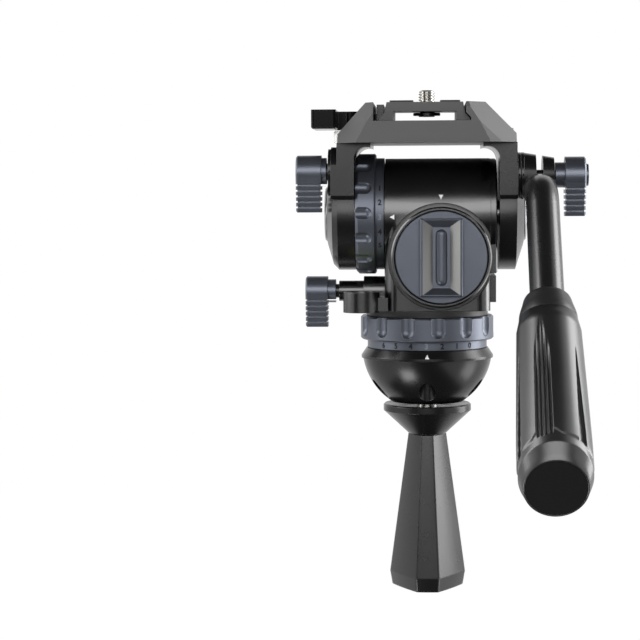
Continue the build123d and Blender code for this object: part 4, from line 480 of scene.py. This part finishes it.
blue_grey = metal_finish(
    "blue_grey", (0.100, 0.109, 0.132), 0.80, 0.40, blast=0.15, edge=0.35, edge_rub_and_highlight=0.12
)
wear_paint(blue_grey, "pan_drag_ring")
black_ink = ink("black_ink", (0.003, 0.003, 0.004), roughness=0.9)
worn_ink = ink("worn_ink", (0.16, 0.18, 0.22))
pan_rows = [(str(3 - step), step * PAN_STEP + PAN_SCALE_SHIFT) for step in range(-3, 4)]
pan_fresh = [row for row in pan_rows if row[0] != WORN_DIGIT]
pan_worn = [row for row in pan_rows if row[0] == WORN_DIGIT]
printed_scale("pan_numbers", pan_fresh, on_pan_band, black_ink, "pan_drag_ring")
printed_scale("pan_number_worn", pan_worn, on_pan_band, worn_ink, "pan_drag_ring")

# Housing, end cover and dial bezel: a black anodised casting, its cover and a raised ring.
# Steel screws hold the cover.
housing_black = metal_finish("housing_black", (0.085, 0.085, 0.086), 1.0, 0.25, blast=0.15)
wear_paint(housing_black, "housing", "end_cover", "dial_bezel")
wear_paint(turned_steel, "cover_screws")

# White arrows, printed on the housing: one over the dial, one at the tilt scale.
# Above the tilt axis the barrel is round, below it the front is flat.
HOUSING_FRONT = 31.7
TILT_AXIS_Z = 76.9
DIAL_ARROW_X = (6.6, 9.2, 7.9)
DIAL_ARROW_Z = (87.9, 87.9, 85.2)
TILT_ARROW_X = (-20.9, -18.3, -18.3)
TILT_ARROW_Z = (75.5, 76.9, 74.1)


def on_barrel(across, height):
    """Points on the barrel's front, by millimetres along it and height."""
    radius = HOUSING_FRONT + PRINT_LIFT
    rise = np.clip(np.array(height) - TILT_AXIS_Z, -radius, radius)
    depth = np.where(rise > 0, np.sqrt(radius * radius - rise * rise), radius)
    return MM * np.column_stack([across, -depth, height])


for name, across, height in (
    ("dial_index", DIAL_ARROW_X, DIAL_ARROW_Z),
    ("tilt_index", TILT_ARROW_X, TILT_ARROW_Z),
):
    arrow = on_barrel(across, height)
    new_piece(name, arrow, [(0, 2, 1)], white_ink, "pan_body", smooth=False)

# Counterbalance dial: a blue-grey anodised disc with a hollowed grip bar.
# Ten fine ticks are engraved round its rim.
DIAL_CENTRE = (8.0, 53.1)
DIAL_FACE_Y = -41.0
TICK_COUNT = 10
TICK_INNER = 22.6
TICK_OUTER = 24.4
TICK_HALF = 0.14
engraved = ink("engraved", (0.05, 0.06, 0.08))
tick_points, tick_faces = [], []
for tick in range(TICK_COUNT):
    turn = math.radians(360 / TICK_COUNT * tick)
    out = np.array([math.sin(turn), math.cos(turn)])
    side = np.array([out[1], -out[0]])
    for radius in (TICK_INNER, TICK_OUTER):
        for sign in (-1, 1):
            spot = np.array(DIAL_CENTRE) + out * radius + side * sign * TICK_HALF
            tick_points.append((MM * spot[0], MM * (DIAL_FACE_Y - PRINT_LIFT), MM * spot[1]))
    first = 4 * tick
    tick_faces.append((first, first + 2, first + 3, first + 1))
new_piece("dial_ticks", tick_points, tick_faces, engraved, "counterbalance_dial", smooth=False)

# The dial's grip bar: a shallow trough with sloping sides, rounded at its edges, and a rib in it.
# It is milled from one piece with the disc. The long slopes are coloured lighter, a painted highlight.
BAR_FACE_Y = -46.0
BAR_RISE = 5.0
BAR_OVERLAP = 0.5
BAR_HALF = 12.05
BAR_HALF_LENGTH = 21.7
BAR_SHOULDER = 1.3
BAR_COLUMNS = 150
BAR_ROWS = 262
TROUGH_HALF = 10.5
TROUGH_HALF_LENGTH = 21.0
TROUGH_FLOOR_HALF = 4.9
TROUGH_FLOOR_LENGTH = 17.0
TROUGH_DEPTH = 3.9
TROUGH_RIB_HALF = 3.0
TROUGH_RIB_LENGTH = 15.6
TROUGH_RIB_RISE = 2.6
TROUGH_RIB_ROUNDING = 0.7
FULL_RAMP = 0.999


def trough_ramps(across, up):
    """How far the side and the end slopes have gone down to the floor, nought to one inside."""
    side = (TROUGH_HALF - np.abs(across)) / (TROUGH_HALF - TROUGH_FLOOR_HALF)
    end = (TROUGH_HALF_LENGTH - np.abs(up)) / (TROUGH_HALF_LENGTH - TROUGH_FLOOR_LENGTH)
    return side, end


def trough_height(across, up):
    """Depth of the trough under the bar's face.

    It is the lesser of the two ramps down to the floor. The rib is a half ellipse across a line
    segment, so its ends are round. Outside, the shoulder falls as a quarter circle.
    """
    ramp = np.clip(np.minimum(*trough_ramps(across, up)), 0, 1)
    past = np.maximum(np.abs(up) - (TROUGH_RIB_LENGTH - TROUGH_RIB_HALF), 0)
    off = np.sqrt(across ** 2 + past ** 2) / TROUGH_RIB_HALF
    rib = TROUGH_RIB_RISE * np.sqrt(np.clip(1 - off ** 2, 0, 1)) ** TROUGH_RIB_ROUNDING
    rim = np.minimum(BAR_HALF - np.abs(across), BAR_HALF_LENGTH - np.abs(up)) / BAR_SHOULDER
    shoulder = 1 - np.sqrt(1 - (1 - np.clip(rim, 0, 1)) ** 2)
    return TROUGH_DEPTH * ramp - rib * (ramp > FULL_RAMP) + BAR_SHOULDER * shoulder


def relief_block(name, across, up, depth_of, centre, face_y, back, paint, body):
    """A closed block whose front is face_y plus a depth worked out on a grid, with a flat back."""
    x, z = np.meshgrid(across, up)
    front = np.stack([centre[0] + x, face_y + depth_of(x, z), centre[1] + z], axis=-1)
    rear = np.stack([centre[0] + x, np.full_like(x, face_y + back), centre[1] + z], axis=-1)
    points = np.concatenate([front.reshape(-1, 3), rear.reshape(-1, 3)]) * MM
    shift = x.size
    index = np.arange(shift).reshape(x.shape)
    a, b, c, d = index[:-1, :-1], index[:-1, 1:], index[1:, 1:], index[1:, :-1]
    faces = [
        np.stack([a, b, c, d], -1).reshape(-1, 4),
        np.stack([a, d, c, b], -1).reshape(-1, 4) + shift,
    ]
    for edge in (index[0], index[:, -1], index[-1][::-1], index[:, 0][::-1]):
        faces.append(np.stack([edge[1:], edge[:-1], edge[:-1] + shift, edge[1:] + shift], -1))
    return new_piece(name, points, np.concatenate(faces).tolist(), paint, body)


dial_bar = relief_block(
    "dial_bar",
    np.linspace(-BAR_HALF, BAR_HALF, BAR_COLUMNS),
    np.linspace(-BAR_HALF_LENGTH, BAR_HALF_LENGTH, BAR_ROWS),
    trough_height, DIAL_CENTRE, BAR_FACE_Y, BAR_RISE + BAR_OVERLAP, blue_grey, "counterbalance_dial",
)
# Painted highlight: a light grey for the trough's long side slopes, where the bar catches the side
# lights.
slope_highlight_grey = metal_finish(
    "slope_highlight_grey", (0.24, 0.24, 0.235), 0.85, 0.34, blast=0.1, edge=0.3, edge_rub_and_highlight=0.1
)
dial_bar.data.materials.append(slope_highlight_grey)
middles = np.empty(3 * len(dial_bar.data.polygons))
dial_bar.data.polygons.foreach_get("center", middles)
middles = middles.reshape(-1, 3) / MM
side_ramp, end_ramp = trough_ramps(middles[:, 0] - DIAL_CENTRE[0], middles[:, 2] - DIAL_CENTRE[1])
highlit_slopes = (side_ramp > 0) & (side_ramp < 1) & (side_ramp < end_ramp)
dial_bar.data.polygons.foreach_set("material_index", highlit_slopes.astype(np.int32))

# The dial's disc: turned, with a fine chamfer at its rim.
# Bar and disc together stand for the dial of the CAD model.
DISC_R = 26.0
DISC_CORE_R = 8.0
DISC_BACK_Y = -34.0
DISC_CHAMFER = 0.5
DISC_COLUMNS = 180
DISC_ROWS = (
    (DISC_CORE_R, DISC_BACK_Y),
    (DISC_R - DISC_CHAMFER, DISC_BACK_Y),
    (DISC_R, DISC_BACK_Y - DISC_CHAMFER),
    (DISC_R, DIAL_FACE_Y + DISC_CHAMFER),
    (DISC_R - DISC_CHAMFER, DIAL_FACE_Y),
    (DISC_CORE_R, DIAL_FACE_Y),
)


def turned_disc(column_count):
    """Rows of radius and depth turned about the dial's axis, from the back to the front."""
    profile = np.array(DISC_ROWS)
    turn = np.linspace(0, 2 * np.pi, column_count, endpoint=False)[None, :]
    x = DIAL_CENTRE[0] + profile[:, :1] * np.cos(turn)
    z = DIAL_CENTRE[1] + profile[:, :1] * np.sin(turn)
    return np.stack([x, np.broadcast_to(profile[:, 1:], x.shape), z], axis=-1)


disc_grid = turned_disc(DISC_COLUMNS)
dial_disc = grid_piece("dial_disc", disc_grid, blue_grey, "counterbalance_dial", smooth=False)
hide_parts("counterbalance_dial")

# Bubble level: a clear domed vial over green liquid.
# It is pressed into its cup on the housing.
vial_green = bpy.data.materials.new("vial_green")
vial_green.use_nodes = True
vial_shader = vial_green.node_tree.nodes["Principled BSDF"]
vial_shader.inputs["Base Color"].default_value = (0.62, 0.78, 0.16, 1)
vial_shader.inputs["Roughness"].default_value = 0.08
vial_shader.inputs["Coat Weight"].default_value = 1.0
wear_paint(vial_green, "level_vial")

# Tilt drag ring: the same blue-grey aluminium, scooped for the fingers.
# Its scale from 1 to 5 runs down the band beside the housing.
TILT_BAND_R = 32.0
TILT_BAND_MIDDLE = -26.5
TILT_STEP = 15.0
TILT_SCALE_SHIFT = -2.5


def on_tilt_band(across, up, turn):
    """Wraps flat points round the tilt axis, on the number band."""
    radius = TILT_BAND_R + PRINT_LIFT
    angle = turn + up / radius
    height = TILT_AXIS_Z + radius * np.sin(angle)
    return MM * np.column_stack([TILT_BAND_MIDDLE + across, -radius * np.cos(angle), height])


wear_paint(blue_grey, "tilt_drag_ring")
tilt_rows = [(str(step + 3), -step * TILT_STEP + TILT_SCALE_SHIFT) for step in range(-2, 3)]
tilt_fresh = [row for row in tilt_rows if row[0] != WORN_DIGIT]
tilt_worn = [row for row in tilt_rows if row[0] == WORN_DIGIT]
printed_scale("tilt_numbers", tilt_fresh, on_tilt_band, black_ink, "tilt_drag_ring")
printed_scale("tilt_number_worn", tilt_worn, on_tilt_band, worn_ink, "tilt_drag_ring")

# Lock knobs: die-cast levers with grip ridges, anodised blue-grey, their edges a little lighter:
# partly rubbed by use, partly a painted edge highlight.
# They sit on black steel studs.
knob_grey = metal_finish(
    "knob_grey", (0.112, 0.122, 0.147), 0.80, 0.36, blast=0.15, edge=0.45, edge_rub_and_highlight=0.30
)
wear_paint(knob_grey, "pan_lock_knob", "tilt_lock_knob", "bar_clamp_knob")
stud_black = metal_finish(
    "stud_black", (0.045, 0.045, 0.046), 0.85, 0.3, blast=0.1, edge=0.2, edge_rub_and_highlight=0.05
)
wear_paint(stud_black, "pan_lock_stud", "tilt_lock_stud", "bar_clamp_stud")

# Tilting platform: two black arms with their toothed rings, grey hub covers and the frame that
# joins the arms. The frame is cast and painted, and its edges are coloured lighter: partly rubbed
# by use, partly a painted edge highlight. Black screws hold covers and frame.
FRAME_GLINT = 0.25
wear_paint(black_anodised, "left_arm", "right_arm", "left_rosette", "right_rosette")
frame_black = metal_finish(
    "frame_black", (0.084, 0.084, 0.085), 0.1, 0.45, blast=0.2, edge=0.35, edge_rub_and_highlight=0.30
)
frame_shader = frame_black.node_tree.nodes["Principled BSDF"]
frame_shader.inputs["Specular IOR Level"].default_value = FRAME_GLINT
wear_paint(frame_black, "top_frame")
cover_grey = metal_finish(
    "cover_grey", (0.30, 0.30, 0.31), 0.85, 0.34, blast=0.2, edge=0.3, edge_rub_and_highlight=0.1
)
wear_paint(cover_grey, "left_hub_cover", "right_hub_cover")
wear_paint(stud_black, "hub_cover_screws", "frame_bolts")

# Quick release: a black jaw and a glossy lever, which clamp the plate in the frame's channel.
# The plate has the frame's finish and two ribbed rubber pads. The brake shoe is of rubber too.
LEVER_GLINT = 0.05
wear_paint(frame_black, "camera_plate")
wear_paint(black_anodised, "plate_jaw")
lever_gloss = metal_finish(
    "lever_gloss", (0.004, 0.004, 0.004), 0.0, 0.16, blast=0.05, edge=0.5, edge_rub_and_highlight=0.25
)
lever_shader = lever_gloss.node_tree.nodes["Principled BSDF"]
lever_shader.inputs["Specular IOR Level"].default_value = LEVER_GLINT
wear_paint(lever_gloss, "plate_lever")
pad_rubber = metal_finish(
    "pad_rubber", (0.030, 0.030, 0.030), 0.0, 0.75, blast=0.6, edge=0.2, edge_rub_and_highlight=0.0
)
wear_paint(pad_rubber, "plate_pads", "pan_lock_shoe")
wear_paint(stud_black, "screw_washer")

# Camera screw: stainless steel, 3/8 inch with 16 turns to the inch.
# Its thread stands up from the plate and its slotted head sits below, in the washer.
SCREW_PITCH = 25.4 / 16
SCREW_CREST_R = 4.7
SCREW_ROOT_R = 3.85
SCREW_FOOT = 134.6
SCREW_TOP = 147.5
SCREW_FLAT = 0.18
SCREW_FLANK = 0.64
SCREW_NOSE = 0.9
SCREW_NOSE_STEP = 0.5
SCREW_ROWS = 240
SCREW_COLUMNS = 96
HEAD_COLUMNS = 64
HEAD_PROFILE = (
    (2.2, 133.6), (2.3, 132.4), (4.4, 132.4), (4.6, 132.6), (4.6, 132.9), (7.6, 133.0),
    (7.8, 133.2), (7.8, 134.3), (7.6, 134.6), (3.9, 134.65),
)


def thread_surface(row_count, column_count):
    """A screw thread as a grid: the radius is a trapezoid wave of height plus turn, times the pitch.

    At the top the radius is held under a cone, the nose of the screw.
    """
    height = np.linspace(SCREW_FOOT, SCREW_TOP, row_count)[:, None]
    turn = np.linspace(0, 2 * np.pi, column_count, endpoint=False)[None, :]
    wave = np.abs(((height / SCREW_PITCH - turn / (2 * np.pi)) % 1.0) * 2 - 1)
    share = np.clip((wave - SCREW_FLAT) / SCREW_FLANK, 0, 1)
    tooth = SCREW_CREST_R - SCREW_ROOT_R
    radius = SCREW_ROOT_R + tooth * share
    nose = np.clip((SCREW_TOP - height) / SCREW_NOSE, 0, 1)
    cone = SCREW_ROOT_R - SCREW_NOSE_STEP + (tooth + SCREW_NOSE_STEP) * nose
    radius = np.minimum(radius, cone)
    x = radius * np.cos(turn)
    y = radius * np.sin(turn)
    return np.stack([x, y, np.broadcast_to(height, x.shape)], axis=-1)


def turned_grid(profile, column_count):
    """A profile of radius and height pairs turned about the pan axis."""
    radius = np.array([p[0] for p in profile], float)[:, None]
    height = np.array([p[1] for p in profile], float)[:, None]
    turn = np.linspace(0, 2 * np.pi, column_count, endpoint=False)[None, :]
    x = radius * np.cos(turn)
    y = radius * np.sin(turn)
    return np.stack([x, y, np.broadcast_to(height, x.shape)], axis=-1)


screw_steel = metal_finish(
    "screw_steel", (0.50, 0.49, 0.46), 1.0, 0.2, blast=0.05, edge=0.1, edge_rub_and_highlight=0.0
)
screw_grid = thread_surface(SCREW_ROWS, SCREW_COLUMNS)
screw = grid_piece("screw_thread", screw_grid, screw_steel, "camera_screw")
head_grid = turned_grid(HEAD_PROFILE, HEAD_COLUMNS)
grid_piece("screw_head", head_grid, screw_steel, "camera_screw", smooth=False)
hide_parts("camera_screw")

# Pan bar: a bent tube of black anodised aluminium, held in its clamp with a toothed ring.
# A dull collar closes the grip against the tube.
tube_black = metal_finish(
    "tube_black", (0.070, 0.070, 0.071), 0.90, 0.27, blast=0.08, edge=0.5, edge_rub_and_highlight=0.03
)
wear_paint(black_anodised, "bar_clamp", "bar_rosette")
wear_paint(tube_black, "pan_bar")
collar_black = metal_finish(
    "collar_black", (0.020, 0.020, 0.021), 0.3, 0.4, blast=0.1, edge=0.4, edge_rub_and_highlight=0.0
)
wear_paint(collar_black, "grip_collar")

# Grip: a moulded sleeve pushed on the tube, with slots and ribs that start as points and widen
# down to a skirt. Its end is cut off at a slant, with a broad chamfer and a seat for the flat cap.
# Distances run along the tube from its bend, and angles run round it from the front.
GRIP_LEAN = math.radians(41)
GRIP_ROOT = np.array([62.3, -72.134, 80.368])
GRIP_ALONG = np.array([0.0, -math.sin(GRIP_LEAN), -math.cos(GRIP_LEAN)])
GRIP_FRONT = np.array([0.0, -math.cos(GRIP_LEAN), math.sin(GRIP_LEAN)])
GRIP_SIDE = np.array([1.0, 0.0, 0.0])
GRIP_START = 76.4
GRIP_SHOULDER = 84.1
GRIP_END = 177.4
GRIP_END_R = 19.1
GRIP_STATIONS = (GRIP_START, GRIP_SHOULDER, 151.1, 197.0)
GRIP_RADII = (15.2, 16.7, 18.8, 19.3)
GRIP_ROOT_RADII = (9.1, 14.9, 15.2)
GRIP_ROWS = 116
GRIP_COLUMNS = 600
SLOT_ANGLES = (-148, -109, -70, 44, 83, 122, 161)
SLOT_HALF = 8.0
SLOT_START = 98.0
SLOT_DEPTH = 1.9
SLOT_WIDENING = 0.8
SLOT_DEEPENING = 3
SLOT_EDGE = 1.2
RIB_FROM = -32.0
RIB_TO = -4.0
RIB_COUNT = 4
RIB_START = 80.0
RIB_EDGE = 14
RIB_BASE = 0.35
RIB_WAVE = 1.15
RIB_ROUNDING = 0.7
TAPER_RISE = 1.9
TAPER_SIDE = 0.5
TAPER_GAIN = 1.4
FEATURE_STOP = 12.0
FEATURE_EDGE = 0.6
SKIRT_DEPTH = 0.5
SKIRT_EDGE = 0.7
SKIRT_LIFT = 2.6
LIFT_RIGHT_FROM = 10.0
LIFT_RIGHT_WIDTH = 14.0
LIFT_RIGHT_UNTIL = -6.0
LIFT_LEFT_FROM = -42.0
LIFT_LEFT_WIDTH = 12.0
LIFT_LEFT_UNTIL = -26.0
CAP_LEAN = math.radians(25)
RIM_SETBACK = 6.7
RIM_R = 16.2
BEVEL_SHARES = (0.04, 0.35, 0.65, 0.96)
SEAT_ROWS = ((16.0, 0.0), (15.45, 0.0), (15.33, 0.15), (15.33, 2.0), (9.0, 2.02))


def soft_step(x):
    """Smooth change from nought to one while x goes from nought to one."""
    x = np.clip(x, 0, 1)
    return x * x * (3 - 2 * x)


def grip_radius(along):
    """Radius of the plain grip: a short shoulder, then two slow straight flares."""
    return np.interp(along, GRIP_STATIONS, GRIP_RADII)


def grip_carving(along, angle, end):
    """How far the surface lies under the plain grip, in millimetres.

    Slots start as points and widen with the distance to their start. A group of ribs in front is
    a cosine wave across, which deepens with the distance. Past both a skirt lies a little lower,
    and it rises further on both sides of the ribs.
    """
    stop = end - FEATURE_STOP
    lasting = 1 - soft_step((along - stop) / FEATURE_EDGE)
    share = np.clip((along - SLOT_START) / (stop - SLOT_START), 0, 1)
    half = SLOT_HALF * share ** SLOT_WIDENING
    slot = np.zeros(np.broadcast(along, angle).shape)
    for middle in SLOT_ANGLES:
        off = np.abs((angle - middle + 180) % 360 - 180)
        slot = np.maximum(slot, 1 - soft_step((off - half) / SLOT_EDGE + 1))
    slot = slot * SLOT_DEPTH * np.minimum(share * SLOT_DEEPENING, 1) * lasting
    rise = np.clip((along - RIB_START) / (stop - RIB_START), 0, 1)
    across = (angle - RIB_FROM) / (RIB_TO - RIB_FROM)
    inside = soft_step(across * RIB_EDGE) * soft_step((1 - across) * RIB_EDGE)
    wave = 0.5 - 0.5 * np.cos(2 * np.pi * RIB_COUNT * np.clip(across, 0, 1))
    taper = soft_step((rise * TAPER_RISE - np.abs(2 * across - 1) * TAPER_SIDE) * TAPER_GAIN)
    ribs = inside * (RIB_BASE + RIB_WAVE * wave ** RIB_ROUNDING) * taper * lasting
    right = soft_step((LIFT_RIGHT_FROM - angle) / LIFT_RIGHT_WIDTH) * (angle > LIFT_RIGHT_UNTIL)
    left = soft_step((angle - LIFT_LEFT_FROM) / LIFT_LEFT_WIDTH) * (angle < LIFT_LEFT_UNTIL)
    corner = SKIRT_LIFT * (right + left)
    skirt = SKIRT_DEPTH * soft_step((along - stop + corner) / SKIRT_EDGE)
    return np.maximum(np.maximum(slot, ribs), skirt)


def grip_surface(side_rows, column_count):
    """The grip as a grid of rows round its axis.

    The side rows share out the way to the oblique end plane. The plane's distance is the grip's
    length less the radius times the cosine of the angle times the tangent of the lean. Then come
    the broad chamfer, the rim, and the shallow seat of the cap.
    """
    angle = np.linspace(-180, 180, column_count, endpoint=False)[None, :]
    turn = np.radians(angle)
    outward = np.cos(turn)[..., None] * GRIP_FRONT + np.sin(turn)[..., None] * GRIP_SIDE
    end = GRIP_END - GRIP_END_R * np.cos(turn) * math.tan(CAP_LEAN)
    share = np.linspace(0, 1, side_rows)[:, None]
    along = GRIP_SHOULDER + (end - RIM_SETBACK - GRIP_SHOULDER) * share
    radius = grip_radius(along) - grip_carving(along, angle, end)
    side = GRIP_ROOT + along[..., None] * GRIP_ALONG + radius[..., None] * outward
    start = GRIP_ROOT + GRIP_START * GRIP_ALONG
    root = [start + r * outward for r in GRIP_ROOT_RADII]
    normal = math.cos(CAP_LEAN) * GRIP_ALONG + math.sin(CAP_LEAN) * GRIP_FRONT
    lean_up = math.cos(CAP_LEAN) * GRIP_FRONT - math.sin(CAP_LEAN) * GRIP_ALONG
    centre = GRIP_ROOT + GRIP_END * GRIP_ALONG
    rim = np.cos(turn)[..., None] * lean_up + np.sin(turn)[..., None] * GRIP_SIDE
    edge = centre + RIM_R * rim
    bevel = [side[-1:] * (1 - q) + edge * q for q in BEVEL_SHARES]
    seat = [centre + r * rim - depth * normal for r, depth in SEAT_ROWS]
    return np.concatenate(root + [side] + bevel + seat, axis=0)


grip_black = metal_finish(
    "grip_black", (0.085, 0.085, 0.086), 0.9, 0.33, blast=0.15, edge=0.5, edge_rub_and_highlight=0.02
)
bar_grip = grid_piece("grip_shell", grip_surface(GRIP_ROWS, GRIP_COLUMNS), grip_black, "pan_bar")
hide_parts("bar_grip")

# Grip end cap: a flat disc of dull black plastic.
# It is pressed into the seat at the grip's slanting end.
CAP_GLINT = 0.2
cap_black = metal_finish(
    "cap_black", (0.005, 0.005, 0.005), 0.0, 0.9, blast=0.3, edge=0.2, edge_rub_and_highlight=0.0
)
cap_shader = cap_black.node_tree.nodes["Principled BSDF"]
cap_shader.inputs["Specular IOR Level"].default_value = CAP_GLINT
wear_paint(cap_black, "grip_end_cap")
